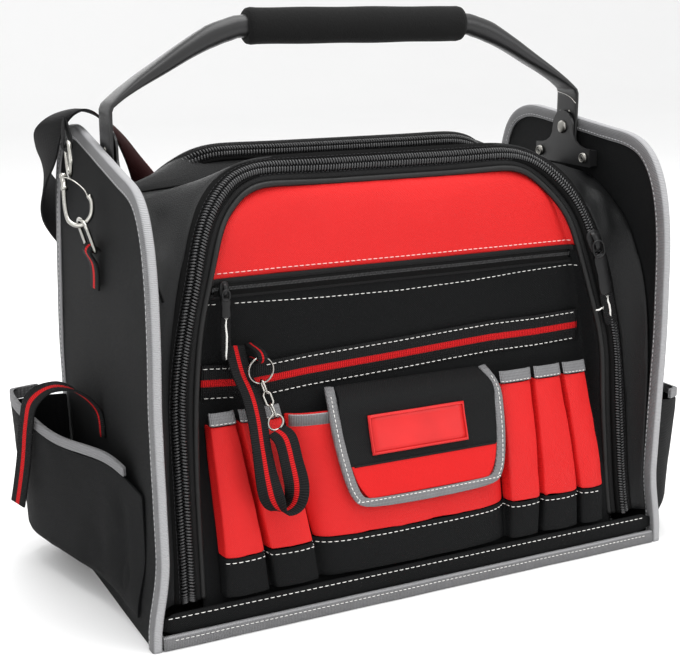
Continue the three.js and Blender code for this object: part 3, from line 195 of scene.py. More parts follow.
def webbing(name, stripe_share):
    """Black ribbed webbing with a red stripe along its middle; the corners hold length and share across."""
    finish = Finish(name)
    spot, (along, across, unused) = finish.place("UV")
    ribs = finish.math("SINE", finish.math("MULTIPLY", along, 2 * math.pi / 1.5))
    grain = finish.math("SINE", finish.math("MULTIPLY", across, 2 * math.pi * 7))
    edge = finish.math("ABSOLUTE", across)
    ragged = finish.math("ADD", edge, finish.math("MULTIPLY", ribs, 0.02))
    inside = finish.math("LESS_THAN", ragged, stripe_share)
    fuzz = finish.noise(finish.place()[0], 700.0)
    rib_light = finish.band(ribs, -1.0, 1.0)
    black_rib = finish.blend(rib_light, rgb(0.003, 0.003, 0.003), rgb(0.014, 0.014, 0.0145))
    black = finish.blend(fuzz, black_rib, rgb(0.011, 0.011, 0.0115))
    red = finish.blend(rib_light, rgb(0.30, 0.004, 0.006), rgb(0.68, 0.014, 0.016))
    finish.surface(finish.blend(inside, black, red), 0.75, specular=0.12)
    height = finish.math("ADD", ribs, finish.math("MULTIPLY", grain, 0.35))
    finish.bump(height, 0.22 * MM)
    return finish.material


def tape(name, color):
    """Ribbed grey binding tape with a painted highlight along its rolled edges; the corners hold length and share
    across.
    """
    finish = Finish(name)
    spot, (along, across, unused) = finish.place("UV")
    ribs = finish.math("SINE", finish.math("MULTIPLY", along, 2 * math.pi / 1.15))
    lines = finish.math("SINE", finish.math("MULTIPLY", across, 2 * math.pi * 4.5))
    patches = finish.noise(finish.place()[0], 60.0, 3.0)
    weave = finish.math("ADD", finish.math("MULTIPLY", ribs, 0.5), finish.math("MULTIPLY", lines, 0.25))
    shade = finish.math("ADD", finish.band(weave, -0.75, 0.75, 0.05, 0.6), finish.math("MULTIPLY", patches, 0.4))
    dark = rgb(*(channel * 0.55 for channel in color))
    light = rgb(*(channel * 1.25 for channel in color))
    # Painted highlight: the tape is painted twice as light along its edges, where its rolled rims catch the light.
    edge = finish.band(finish.math("ABSOLUTE", across), 0.82, 0.97)
    rim = rgb(*(channel * 2.0 for channel in color))
    tone = finish.blend(edge, finish.blend(shade, dark, light), rim)
    finish.surface(tone, 0.62, specular=0.3)
    finish.bump(weave, 0.45 * MM)
    return finish.material


def metal(name, color, roughness, grain=0.06):
    """Plated steel with painted shade: its colour darkens where it faces down, a painted reflection of the dark bag
    below.
    """
    finish = Finish(name)
    spot, unused = finish.place()
    worn = finish.noise(spot, 240.0, 4.0)
    facing = finish.node("ShaderNodeNewGeometry").outputs["Normal"]
    up = finish.node("ShaderNodeSeparateXYZ", (facing,)).outputs[2]
    # Painted shade: where the surface faces down its colour falls to about a fifth.
    dark = rgb(*(channel * 0.22 for channel in color))
    tone = finish.blend(finish.band(up, -0.75, 0.55), dark, rgb(*color))
    finish.surface(tone, finish.band(worn, 0.3, 0.7, roughness - grain, roughness + grain), metal=1.0)
    finish.bump(worn, 0.03 * MM)
    return finish.material


def paint(name, color, roughness, specular=0.5, lumps=0.05, size=500.0):
    """Powder coat, moulded plastic or rubber."""
    finish = Finish(name)
    spot, unused = finish.place()
    fine = finish.noise(spot, size, 3.0)
    broad = finish.noise(spot, 35.0, 2.0)
    tone = finish.blend(broad, rgb(*(c * 0.8 for c in color)), rgb(*(c * 1.2 for c in color)))
    finish.surface(tone, finish.band(fine, 0.3, 0.7, roughness - 0.07, roughness + 0.07), specular=specular)
    finish.bump(fine, lumps * MM)
    return finish.material


def foam(name):
    finish = Finish(name)
    spot, unused = finish.place()
    cells = finish.node("ShaderNodeTexVoronoi")
    finish.feed(cells.inputs["Vector"], spot)
    cells.inputs["Scale"].default_value = 900.0
    fine = finish.noise(spot, 1400.0, 3.0)
    height = finish.math("ADD", cells.outputs["Distance"], finish.math("MULTIPLY", fine, 0.6))
    tone = finish.blend(fine, rgb(0.004, 0.004, 0.004), rgb(0.013, 0.013, 0.013))
    finish.surface(tone, 0.9, sheen=0.04, specular=0.1)
    finish.bump(height, 0.25 * MM)
    return finish.material


BLACK = (0.0050, 0.0053, 0.0056)
RED = (0.62, 0.012, 0.012)
GREY = (0.2, 0.2, 0.205)
materials = {
    "black_front": cloth("black_front", BLACK, "front"),
    "black_side": cloth("black_side", BLACK, "side"),
    "black_round": cloth("black_round", BLACK, "any", roughness=0.55, specular=0.28, depth=0.1),
    "black_top": cloth("black_top", BLACK, "top", roughness=0.6, specular=0.2),
    "red_front": cloth("red_front", RED, "front", roughness=0.52, specular=0.22, spread=0.1),
    "webbing": webbing("webbing", 0.2),
    "narrow_webbing": webbing("narrow_webbing", 0.25),
    "plain_webbing": webbing("plain_webbing", -1.0),
    "backing": cloth("backing", (0.020, 0.003, 0.003), "side", pitch=1.6, roughness=0.85, specular=0.08),
    "tape": tape("tape", GREY),
    "zip": paint("zip", (0.030, 0.030, 0.031), 0.30, 0.6, 0.01),
    "pull": paint("pull", (0.006, 0.006, 0.0064), 0.44, 0.3, 0.02),
    "zip_tape": cloth("zip_tape", (0.004, 0.004, 0.004), "front", pitch=1.0, roughness=0.7, specular=0.1),
    "piping": paint("piping", (0.006, 0.006, 0.006), 0.5, 0.3, 0.04),
    "coat": paint("coat", (0.010, 0.010, 0.0105), 0.38, 0.45, 0.03, 900.0),
    "foam": foam("foam"),
    "steel": metal("steel", (0.55, 0.54, 0.50), 0.2),
    "dull_steel": metal("dull_steel", (0.40, 0.39, 0.36), 0.36),
    "rubber": paint("rubber", (0.60, 0.016, 0.016), 0.42, 0.3, 0.05),
    "white_thread": paint("white_thread", (0.78, 0.77, 0.74), 0.6, 0.2, 0.05, 1500.0),
    "grey_thread": paint("grey_thread", (0.50, 0.50, 0.51), 0.6, 0.2, 0.05, 1500.0),
    "pink_thread": paint("pink_thread", (0.80, 0.42, 0.40), 0.6, 0.2, 0.05, 1500.0),
    "dark_thread": paint("dark_thread", (0.03, 0.03, 0.032), 0.6, 0.2, 0.05, 1500.0),
    "red_thread": paint("red_thread", (0.50, 0.012, 0.015), 0.6, 0.2, 0.05, 1500.0),
}


# Geometry, in millimetres until it becomes a mesh


def spot(x, y, z):
    return Vector((x, y, z))


def between(low, high, share):
    return low + (high - low) * share


def lookup(rows, value):
    """The value of a two-column table at a place between its rows."""
    if value <= rows[0][0]:
        return rows[0][1]
    for (here, low), (there, high) in zip(rows, rows[1:]):
        if value <= there:
            return between(low, high, (value - here) / (there - here))
    return rows[-1][1]


def curve(points, step):
    """A smooth line through points, with a stop about every step; the points may be tuples of vectors."""
    rows = [point if isinstance(point, tuple) else (point,) for point in points]
    result = []
    for k in range(len(rows) - 1):
        four = [rows[max(k - 1, 0)], rows[k], rows[k + 1], rows[min(k + 2, len(rows) - 1)]]
        count = max(1, round((four[2][0] - four[1][0]).length / step))
        for n in range(count):
            t = n / count
            weights = (
                -0.5 * t + t * t - 0.5 * t ** 3, 1 - 2.5 * t * t + 1.5 * t ** 3,
                0.5 * t + 2 * t * t - 1.5 * t ** 3, -0.5 * t * t + 0.5 * t ** 3)
            result.append(tuple(
                sum((row[c] * w for row, w in zip(four, weights)), Vector((0, 0, 0))) for c in range(len(rows[0]))))
    result.append(rows[-1])
    return result if isinstance(points[0], tuple) else [row[0] for row in result]


def stops(points, hint, closed=False):
    """Places along a line with the directions across it and out of it."""
    made = []
    count = len(points)
    for k, at in enumerate(points):
        before = points[(k - 1) % count if closed else max(k - 1, 0)]
        after = points[(k + 1) % count if closed else min(k + 1, count - 1)]
        along = (after - before).normalized()
        wanted = hint[k] if isinstance(hint, list) else hint
        across = (wanted - along * wanted.dot(along)).normalized()
        made.append((at, across, across.cross(along).normalized()))
    return made


def sweep(places, section, closed=False, scale=None):
    """Points, faces and corner coordinates of a section carried along places."""
    count = len(section)
    widest = max(abs(a) for a, b in section) or 1
    points, faces, corners = [], [], []
    lengths = [0.0]
    for (here, *unused), (there, *unused2) in zip(places, places[1:]):
        lengths.append(lengths[-1] + (there - here).length)
    if closed:
        lengths.append(lengths[-1] + (places[0][0] - places[-1][0]).length)
    for k, (at, across, out) in enumerate(places):
        size = scale[k] if scale else 1
        points += [at + across * (a * size) + out * (b * size) for a, b in section]
    spans = len(places) if closed else len(places) - 1
    for k in range(spans):
        here, there = k * count, ((k + 1) % len(places)) * count
        for n in range(count):
            m = (n + 1) % count
            faces.append((here + n, here + m, there + m, there + n))
            low, high = section[n][0] / widest, section[m][0] / widest
            corners += [(lengths[k], low), (lengths[k], high), (lengths[k + 1], high), (lengths[k + 1], low)]
    if not closed:
        last = (len(places) - 1) * count
        faces.append(tuple(reversed(range(count))))
        faces.append(tuple(last + n for n in range(count)))
        corners += [(0.0, section[n][0] / widest) for n in reversed(range(count))]
        corners += [(lengths[-1], section[n][0] / widest) for n in range(count)]
    return points, faces, corners


def merged(parts):
    """Several shapes as one."""
    points, faces, corners = [], [], []
    for part_points, part_faces, part_corners in parts:
        start = len(points)
        points += part_points
        faces += [tuple(start + index for index in face) for face in part_faces]
        corners += part_corners
    return points, faces, corners


def circle(diameter, sides):
    turns = [2 * math.pi * (k + 0.5) / sides for k in range(sides)]
    return [(diameter / 2 * math.cos(turn), diameter / 2 * math.sin(turn)) for turn in turns]


def flat_band(width, thickness, bevel=0.3):
    """The section of a webbing or tape with rounded edges."""
    a, b = width / 2, thickness / 2
    c = min(bevel * thickness, b * 0.9)
    half = [(-a + c, -b), (0, -b), (a - c, -b), (a, -b + c), (a, b - c), (a - c, b), (0, b), (-a + c, b)]
    return [*half, (-a, b - c), (-a, -b + c)]


def piece(name, shape, material, body="bag", replaces=(), smooth=True):
    """An object from a shape in millimetres, riding on a body."""
    points, faces, corners = shape
    mesh = bpy.data.meshes.new(name)
    mesh.from_pydata([point * MM for point in points], [], faces)
    if corners:
        layer = mesh.uv_layers.new(name="UVMap")
        layer.data.foreach_set("uv", [value for corner in corners for value in corner])
    whole = bmesh.new()
    whole.from_mesh(mesh)
    bmesh.ops.recalc_face_normals(whole, faces=whole.faces)
    whole.to_mesh(mesh)
    whole.free()
    return dress(name, mesh, material, body, replaces, smooth)


def dress(name, mesh, material, body, replaces, smooth=True):
    mesh.materials.clear()
    mesh.materials.append(materials[material])
    mesh.polygons.foreach_set("use_smooth", [smooth] * len(mesh.polygons))
    made = bpy.data.objects.new(name, mesh)
    bpy.context.scene.collection.objects.link(made)
    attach(made, body)
    if replaces:
        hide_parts(*replaces)
    return made


def soft(name, node, material, levels=2, relief=None, sharp=50):
    """A smooth copy of a cloth node with its folds, which stands for the node."""
    whole = bmesh.new()
    whole.from_mesh(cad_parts[node].data)
    bmesh.ops.remove_doubles(whole, verts=whole.verts, dist=1e-5)
    bmesh.ops.join_triangles(
        whole, faces=whole.faces, angle_face_threshold=math.radians(50), angle_shape_threshold=math.radians(80))
    crease = whole.edges.layers.float.get("crease_edge") or whole.edges.layers.float.new("crease_edge")
    for edge in whole.edges:
        if len(edge.link_faces) == 2 and edge.calc_face_angle() > math.radians(sharp):
            edge[crease] = 0.9
    mesh = bpy.data.meshes.new(name)
    whole.to_mesh(mesh)
    whole.free()
    rough = bpy.data.objects.new(name + "_cage", mesh)
    bpy.context.scene.collection.objects.link(rough)
    modifier = rough.modifiers.new("smooth", "SUBSURF")
    modifier.levels = modifier.render_levels = levels
    graph = bpy.context.evaluated_depsgraph_get()
    fine = bpy.data.meshes.new_from_object(rough.evaluated_get(graph))
    bpy.data.objects.remove(rough)
    if relief:
        for vertex, normal in zip(fine.vertices, [v.normal.copy() for v in fine.vertices]):
            vertex.co += relief(vertex.co / MM, normal) * MM
    return dress(name, fine, material, "bag", (node,))


def wave(at, size, seed=0.0):
    """Smooth noise from -1 to 1 at a place in millimetres."""
    return noise.noise(Vector((at.x / size + seed, at.y / size - seed, at.z / size)))


def ridge(first, second, line, width, height):
    """How high a soft fold along a line (from, to) stands at a place in a plane."""
    (x0, z0), (x1, z1) = line
    span = Vector((x1 - x0, z1 - z0))
    share = max(0.0, min(1.0, Vector((first - x0, second - z0)).dot(span) / span.length_squared))
    near = Vector((x0, z0)) + span * share
    fade = min(1.0, 4 * min(share, 1 - share) + 0.25)
    gap = (Vector((first, second)) - near).length
    return height * fade * math.exp(-((gap / width) ** 2))


# Finding places on finished pieces


class Skin:
    """The surface of some pieces, to lay stitches and tapes on."""

    def __init__(self, *pieces):
        whole = bmesh.new()
        for made in pieces:
            whole.from_mesh(made.data)
        self.tree = BVHTree.FromBMesh(whole)
        whole.free()

    def hit(self, origin, way):
        at, normal, index, gap = self.tree.ray_cast(origin * MM, way)
        if at is None:
            return None
        if normal.dot(way) > 0:
            normal = -normal
        return at / MM, normal

    def lay(self, points, start, way, lift=0.15):
        """Points dropped onto the surface along a direction, from a plane at a start along it."""
        found = []
        for point in points:
            origin = point - way * point.dot(way) + way * start
            hit = self.hit(origin, way)
            if hit:
                found.append((hit[0] + hit[1] * lift, hit[1]))
        return found


def stitch(places, long=STITCH_LONG, gap=STITCH_GAP, wide=STITCH_WIDE, skip=()):
    """A row of stitches, each a small rounded thread, along places with their normals."""
    parts = []
    walked, start = 0.0, 0.0
    marks = [0.0]
    for (here, unused), (there, unused2) in zip(places, places[1:]):
        walked += (there - here).length
        marks.append(walked)
    if walked < long:
        return parts

    def at(length):
        for k in range(len(marks) - 1):
            if length <= marks[k + 1]:
                share = (length - marks[k]) / max(marks[k + 1] - marks[k], 1e-6)
                low, high = places[k], places[k + 1]
                return low[0].lerp(high[0], share), low[1].lerp(high[1], share).normalized()
        return places[-1]

    section = circle(wide, 6)
    while start + long <= walked:
        ends = [at(start + share * long) for share in (0, 0.18, 0.5, 0.82, 1)]
        start += long + gap
        if (ends[4][0] - ends[0][0]).length > 1.5 * long:
            continue
        line = [place + normal * (wide * lift) for (place, normal), lift in zip(ends, (-0.35, 0.1, 0.25, 0.1, -0.35))]
        tube = stops(line, ends[2][1])
        parts.append(sweep(tube, section, scale=[0.45, 0.95, 1.0, 0.95, 0.45]))
    return parts


def row(x0, x1, height, step=2.0):
    """Points from left to right at a height, which may be a table of (x, z) rows."""
    count = max(2, round(abs(x1 - x0) / step))
    made = []
    for k in range(count + 1):
        x = between(x0, x1, k / count)
        made.append(spot(x, 0, lookup(height, x) if isinstance(height, list) else height))
    return made


def rings(node, first):
    """The rings of a swept node in order, from the corners that first picks."""
    whole = bmesh.new()
    whole.from_mesh(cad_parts[node].data)
    bmesh.ops.remove_doubles(whole, verts=whole.verts, dist=1e-5)
    whole.verts.index_update()
    layer = [corner for corner in whole.verts if first(corner.co / MM)]
    done, result = set(), []
    while layer:
        result.append([corner.co / MM for corner in layer])
        done.update(corner.index for corner in layer)
        found = {e.other_vert(corner) for corner in layer for e in corner.link_edges}
        layer = sorted((c for c in found if c.index not in done), key=lambda c: c.index)
    whole.free()
    return result


def ribbon_route(node, first):
    """The middle line of a webbing node with the direction across it."""
    route, last = [], None
    for ring in rings(node, first):
        if len(ring) != 4:
            continue
        start, *others = ring
        mate = min(others, key=lambda other: (other - start).length)
        far = [other for other in others if other is not mate]
        across = ((far[0] + far[1]) - (start + mate)).normalized()
        if last and across.dot(last) < 0:
            across = -across
        last = across
        route.append((sum(ring, Vector((0, 0, 0))) / 4, across))
    return route


def ribbon(route, width, thickness, step=3.0):
    """A webbing with rounded edges along a route of (place, direction across)."""
    fine = curve(route, step)
    places = stops([at for at, across in fine], [across for at, across in fine])
    return sweep(places, flat_band(width, thickness))


# The studio


SWEEP_START, SWEEP_RADIUS, SWEEP_TOP = 3.2, 1.6, 5.0


def studio():
    """A pale floor that curves up behind the bag, and soft lamps all round."""
    profile = [(-5.0, 0.0), (-2.0, 0.0), (0.0, 0.0), (SWEEP_START, 0.0)]
    for k in range(1, 17):
        turn = math.pi / 2 * k / 16
        profile.append((SWEEP_START + SWEEP_RADIUS * math.sin(turn), SWEEP_RADIUS * (1 - math.cos(turn))))
    profile.append((SWEEP_START + SWEEP_RADIUS, SWEEP_TOP))
    points = [(x, y, z) for y, z in profile for x in (-7, 7)]
    faces = [(2 * k, 2 * k + 1, 2 * k + 3, 2 * k + 2) for k in range(len(profile) - 1)]
    floor = bpy.data.meshes.new("floor")
    floor.from_pydata(points, [], faces)
    floor.polygons.foreach_set("use_smooth", [True] * len(floor.polygons))
    ground = bpy.data.objects.new("floor", floor)
    bpy.context.scene.collection.objects.link(ground)
    finish = Finish("floor")
    place, unused = finish.place()
    finish.surface(finish.blend(finish.noise(place, 3.0), rgb(0.93, 0.93, 0.93), rgb(0.95, 0.95, 0.95)), 0.8,
                   specular=0.1)
    floor.materials.append(finish.material)
    world = bpy.data.worlds.new("studio")
    world.use_nodes = True
    world.node_tree.nodes["Background"].inputs[0].default_value = rgb(1.0, 1.0, 1.0)
    world.node_tree.nodes["Background"].inputs[1].default_value = 0.95
    bpy.context.scene.world = world
    lamps = [
        ("top_lamp", (0.1, -0.1, 1.7), (0.0, 0.0, 0.15), 1.3, 22),
        ("left_lamp", (-1.6, -1.0, 0.9), (-0.1, 0.0, 0.2), 1.0, 6),
        ("right_lamp", (1.2, -1.5, 1.2), (0.0, 0.0, 0.2), 1.0, 9),
        ("back_lamp", (0.2, 1.6, 1.1), (0.0, 0.0, 0.25), 1.2, 8),
    ]
    for name, at, target, size, power in lamps:
        data = bpy.data.lights.new(name, "AREA")
        data.shape = "SQUARE"
        data.size = size
        data.energy = power
        lamp = bpy.data.objects.new(name, data)
        lamp.location = at
        lamp.rotation_euler = (Vector(target) - Vector(at)).to_track_quat("-Z", "Y").to_euler()
        bpy.context.scene.collection.objects.link(lamp)
    bpy.context.scene.view_settings.view_transform = "Standard"


camera()
studio()


# The end panels and their bindings


def panel_relief(at, normal):
    dent = 1.1 * wave(at, 95, 3.0) + 0.35 * wave(at, 34, 9.0)
    return Vector((dent, 0, 0)) * (1 if abs(at.z - 12) > 12 else 0.2)


def panels():
    made = {}
    for side in ("left", "right"):
        made[side] = soft(f"panel_{side}", f"end_panel_{side}", "black_side", 3, panel_relief)
    return made


PANEL_FRONTS = {"left": (26, 124), "right": (12, 92)}
PANEL_TOP, PANEL_FRONT, PANEL_REAR, PANEL_BOARD, PANEL_LEAN = 332, -118, 108, 4, 9.8


def panel_in(z):
    """How far a panel's outer face has come in at a height."""
    lean = PANEL_LEAN * z / PANEL_TOP
    if z <= 24 or z >= 168:
        return lean
    return lean + 6 * ((z - 24) / 24 if z < 48 else (168 - z) / 120)


def bend(start, corner, end, count):
    made = []
    for k in range(count + 1):
        t = k / count
        shares = ((1 - t) ** 2, 2 * t * (1 - t), t * t)
        made.append(tuple(sum(s * p[c] for s, p in zip(shares, (start, corner, end))) for c in (0, 1)))
    return made


def panel_edge(side, way):
    """The middle line of a panel's edge from the front foot over the top to the rear foot."""
    fall, drop = PANEL_FRONTS[side]
    low = PANEL_TOP - fall
    line = [(PANEL_FRONT, 3.0 * k) for k in range(int((low - drop) / 3))]
    line += bend((PANEL_FRONT, low - drop), (PANEL_FRONT, low), (PANEL_FRONT + 54, low), 40)
    line += bend((PANEL_REAR - 52, PANEL_TOP), (PANEL_REAR, PANEL_TOP), (PANEL_REAR, PANEL_TOP - 62), 30)
    line += [(PANEL_REAR, 3.0 * k) for k in range(int((PANEL_TOP - 62) / 3) - 1, -1, -1)]
    whole = [spot(way * (PANEL_HALF - panel_in(z) - PANEL_BOARD / 2), y, z) for y, z in line]
    even = [at for at in curve(whole, 3.0)]
    smooth = []
    for k in range(len(even)):
        reach = min(6, k, len(even) - 1 - k)
        near = even[k - reach:k + reach + 1]
        smooth.append(sum(near, Vector((0, 0, 0))) / len(near))
    return smooth


def panel_bindings():
    """The ribbed tape folded over each panel's edge, and its stitching."""
    threads_laid = []
    for side, way in (("left", -1), ("right", 1)):
        fine = panel_edge(side, way)
        half, lip = 5.0, 3.6
        section = [
            (-half, -lip + 1.6), (-half + 0.9, -lip + 0.5), (-half + 2.6, -lip), (-1.0, -lip), (half - 0.7, -lip),
            (half, -lip + 0.6), (half, -1.7), (-half + 2.0, -1.6), (-half + 2.0, 1.6), (half, 1.7),
            (half, lip - 0.6), (half - 0.7, lip), (-1.0, lip), (-half + 2.6, lip), (-half + 0.9, lip - 0.5),
            (-half, lip - 1.6),
        ]
        places = []
        for k, at in enumerate(fine):
            before, after = fine[max(k - 1, 0)], fine[min(k + 1, len(fine) - 1)]
            inward = (after - before).cross(Vector((1, 0, 0))).normalized()
            if k < len(fine) / 3:
                inward *= 1 if inward.y > 0 else -1
            elif places and inward.dot(places[-1][1]) < 0:
                inward = -inward
            ripple = 0.35 * wave(at, 16, 5.0 * way) + 0.5 * wave(at, 50, 2.0 * way)
            shift = Vector((way * 0.25 * ripple, 0, 0))
            places.append((at + inward * (half - 0.3 + 0.4 * ripple) + shift, inward))
        route = stops([at for at, hint in places], [hint for at, hint in places])
        shape = sweep(route, section)
        piece(f"binding_panel_{side}", shape, "tape", replaces=(f"panel_binding_{side}",))
        for face in (-1, 1):
            line = [(at + across * 3.0 + out * (face * lip), out * face) for at, across, out in route]
            threads_laid += stitch(line, 2.6, 1.2, 0.55)
    piece("stitches_panel_binding", merged(threads_laid), "grey_thread")


panel_pieces = panels()
panel_bindings()


# The lines of the large zips


def zip_route(node):
    """The middle of a coil with the directions across the tape and out of it."""
    route = []
    for ring in rings(node, lambda at: at.z < 30 and at.x < 0):
        middle = sum(ring, Vector((0, 0, 0))) / len(ring)
        pairs = [(a, b) for n, a in enumerate(ring) for b in ring[n + 1:]]
        a, b = max(pairs, key=lambda pair: (pair[0] - pair[1]).length)
        centre = Vector((0, middle.y, 120))
        outer, inner = (a, b) if (a - centre).length > (b - centre).length else (b, a)
        across = (inner - outer).normalized()
        level = outer + across * (middle - outer).dot(across)
        out = (middle - level).normalized()
        route.append((outer + across * TAPE_OUTSIDE, across, out))
    fine = curve(route, COIL_PITCH)
    return [(at, across.normalized(), out.normalized()) for at, across, out in fine]


def eased(route, reach):
    """A zip's line with rounder corners: each place is the mean of those beside it."""
    made = []
    for k in range(len(route)):
        span = min(reach, k, len(route) - 1 - k)
        near = route[k - span:k + span + 1]
        at, across, out = (sum((row[c] for row in near), Vector((0, 0, 0))) / len(near) for c in range(3))
        made.append((at, across.normalized(), out.normalized()))
    return made


front_route = eased(zip_route("zip_front"), 8)
rear_route = eased(zip_route("zip_rear"), 5)


def inside_zip(at, route):
    """How far a place lies from a zip's line, seen from the front."""
    return min(math.hypot(at.x - line.x, at.z - line.z) for line, across, out in route[::4])


# The body's cloth between the arches and the panels

LEFT_CREASES = [
    (((-196, 212), (-178, 262)), 7, 3.0),
    (((-200, 262), (-168, 284)), 4, -2.2),
    (((-198, 205), (-188, 120)), 6, 2.0),
]
RIGHT_CREASES = [
    (((196, 285), (158, 270)), 5, -2.6),
    (((199, 250), (165, 292)), 4, 2.4),
    (((170, 236), (203, 232)), 4, -2.2),
    (((185, 285), (176, 240)), 5, 2.0),
]


def gusset_relief(way):
    def relief(at, normal):
        lift = sum(ridge(at.x, at.z, *crease) for crease in LEFT_CREASES + RIGHT_CREASES)
        lift += 0.8 * wave(at, 40, 1.5 * way) + 0.3 * wave(at, 15, 4.0)
        free = min(1.0, max(0.0, (PANEL_HALF - 9 - abs(at.x)) / 8))
        outward = Vector((0, -way, 0.6)).normalized()
        return outward * lift * free * (0.35 if at.z > 283 else 1)
    return relief


def body_cloth():
    front = soft("gusset_cloth_front", "gusset_front", "black_round", 2, gusset_relief(1))
    soft("gusset_cloth_rear", "gusset_rear", "black_round", 2, gusset_relief(-1))
    top = soft("top_cloth", "top_panel", "black_round", 3,
         lambda at, normal: UP * (1.2 * wave(at, 60, 2.0) - 0.8))
    return Skin(front, top)


def top_seam(skin):
    """The pressed seam from the left panel to the arch."""
    line = [spot(between(-197, -150, k / 16), between(-78, -100, k / 16), 0) for k in range(17)]
    laid = skin.lay(line, -420, -UP, 0.1)
    route = [at for at, normal in laid]
    if len(route) > 4:
        fold = [(-2.2, -0.6), (2.2, -0.6), (2.2, 0.2), (1.0, 0.9), (-0.6, 1.0), (-2.2, 0.2)]
        piece("top_seam", sweep(stops(route, FRONT), fold), "black_front_fold")


# The doors


def door_relief(way, depth=1.0):
    def relief(at, normal):
        lift = 1.4 * wave(at, 75, 6.0 * way) + 0.35 * wave(at, 24, 8.0)
        free = max(0.0, min(1.0, (158 - abs(at.x)) / 16))
        if way < 0:
            gap = inside_zip(at, rear_route)
            free *= max(0.0, min(1.0, (gap - 12) / 12))
            lift -= 1.3 * math.exp(-(((gap - 11) / 4) ** 2)) / max(depth * free, 0.3)
        return Vector((0, -way * depth * lift * max(free, 0.3), 0))
    return relief


CROWN_DENTS = [
    (((60, 268), (-10, 280)), 26, 1.7),
    (((-60, 262), (-110, 250)), 22, -1.5),
    (((40, 296), (46, 284)), 3.5, -0.9),
    (((78, 296), (70, 286)), 3.0, -0.7),
    (((-30, 297), (-34, 288)), 3.0, -0.7),
]


def crown_relief(at, normal):
    lift = sum(ridge(at.x, at.z, *dent) for dent in CROWN_DENTS) + 0.5 * wave(at, 45, 5.0)
    gap = inside_zip(at, front_route)
    free = max(0.0, min(1.0, (gap - 13) / 14))
    sunk = 4.2 * math.exp(-((max(gap - 10, 0) / 5) ** 2))
    return Vector((0, sunk - lift * free, 0))


def doors():
    made = {
        "door": soft("door_cloth_front", "door_front", "black_front", 2, door_relief(1)),
        "crown": soft("crown_cloth", "crown_front", "red_front", 3, crown_relief),
        "rear": soft("door_cloth_rear", "door_rear", "black_front", 2, door_relief(-1, 1.4)),
    }
    return made


door_pieces = doors()


# The large zips


def coil(route, width, height, lean=0.5, lift=1.2):
    """Two rows of slanted plastic ribs that meet along the middle."""
    parts = []
    section = circle(1.45, 6)
    for k in range(0, len(route) - 1):
        at, across, out = route[k]
        along = (route[k + 1][0] - at).normalized()
        for side in (-1, 1):
            start = at + along * (COIL_PITCH * (0.5 if side > 0 else 0.0))
            line = []
            for share, rise in ((0.0, 0.2), (0.25, 0.85), (0.62, 1.0), (0.92, 0.55)):
                reach = side * width / 2 * (1 - share * 1.02)
                line.append(start + across * reach + along * (lean * share * COIL_PITCH) + out * (lift + height * rise))
            parts.append(sweep(stops(line, along), section, scale=[0.75, 1.0, 1.05, 0.8]))
    return merged(parts)


def strip_along(route, offset, section, step=2):
    """A section carried beside a coil, at an offset across it."""
    places = [(at + across * offset, across, out) for at, across, out in route[::step]]
    return sweep(places, section)


def turned_up(route):
    """The line of the rear coil: along the top of its arch the coil rolls over the seam and faces up."""
    made = []
    for at, across, out in route:
        share = max(0.0, min(1.0, (at.z - 236) / 44))
        share = share * share * (3 - 2 * share)
        turn = 2.0 * share
        place = at - across * (6 * share) - out * (9 * share)
        made.append((place, across * math.cos(turn) + out * math.sin(turn), out * math.cos(turn) - across * math.sin(turn)))
    return made


def turned_out(route):
    """The line of the front coil: on the sides of its arch it faces a little outward."""
    made = []
    for at, across, out in route:
        turn = 0.42 * min(1.0, abs(across.x) * 1.2)
        place = at + out * (1.6 * math.sin(turn) / 0.41)
        made.append((place, across * math.cos(turn) + out * math.sin(turn),
                     out * math.cos(turn) - across * math.sin(turn)))
    return made


def big_zip(word, way, route):
    tape_section = [(-9.6, -1.6), (10, -1.0), (10, 0.6), (5.4, 1.15), (4.6, 0.9), (-4.6, 0.9), (-5.4, 1.15), (-9.4, 0.2)]
    piece(f"zip_tape_{word}", strip_along(route, 0, tape_section), "zip_tape",
          replaces=(f"zip_{word}",))
    coil_route = turned_out(route) if way > 0 else turned_up(route)
    piece(f"zip_coil_{word}", coil(coil_route, COIL_WIDTH, 1.6), "zip")
    padded_edge = [(-2.6, -0.8), (2.6, -0.8), (2.7, 0.3), (1.6, 1.3), (0, 1.65), (-1.6, 1.3), (-2.7, 0.3)]
    piece(f"zip_fold_{word}", strip_along(route, 7.5, padded_edge), "black_front_fold")
    if way > 0:
        bed = [(-5.6, -3.2), (5.6, -3.2), (5.6, 0.7), (4.6, 1.1), (-4.6, 1.1), (-5.6, 0.7)]
        piece("zip_bed_front", strip_along(coil_route, 0, bed), "zip_tape")
    if way < 0:
        bed = [(-6.6, -1.4), (6.6, -1.4), (6.6, 0.5), (5.4, 1.1), (-5.4, 1.1), (-6.6, 0.5)]
        piece("zip_bed_rear", strip_along(coil_route, 0, bed), "zip_tape")
        lip = strip_along(coil_route, 6.4, padded_edge)
        piece("zip_lip_rear", lip, "black_front_fold")
    piece(f"piping_{word}", strip_along(route, 11.8, circle(4.6, 8)), "piping")
    threads_laid = []
    for offset in (-6.2, 5.3):
        line = [(at + across * offset + out * 1.35, out) for at, across, out in route]
        threads_laid += stitch(line, 2.3, 1.1, 0.4)
    piece(f"stitches_zip_{word}", merged(threads_laid), "dark_thread")


materials["black_front_fold"] = cloth("black_front_fold", (0.0045, 0.0045, 0.0047), "front", roughness=0.6,
                                      specular=0.2)
top_seam(body_cloth())
big_zip("front", 1, front_route)
big_zip("rear", -1, rear_route)


# The slit zip, the webbing band and the stitching of the front

SLIT_STITCH = [(-152, 220.0), (-60, 216.5), (0, 215.5), (60, 217.0), (100, 219.0), (150, 221.0)]
BAND_SAG = [(-156, -2.0), (-117, -5.0), (-78, -2.5), (-39, -1.0), (0, 0.5), (39, 2.5), (78, 4.0), (117, 3.5), (156, 5.0)]
BAND_HEIGHT = 168
BAND_WIDTH = 25
SLIT_HEIGHT = 230.5


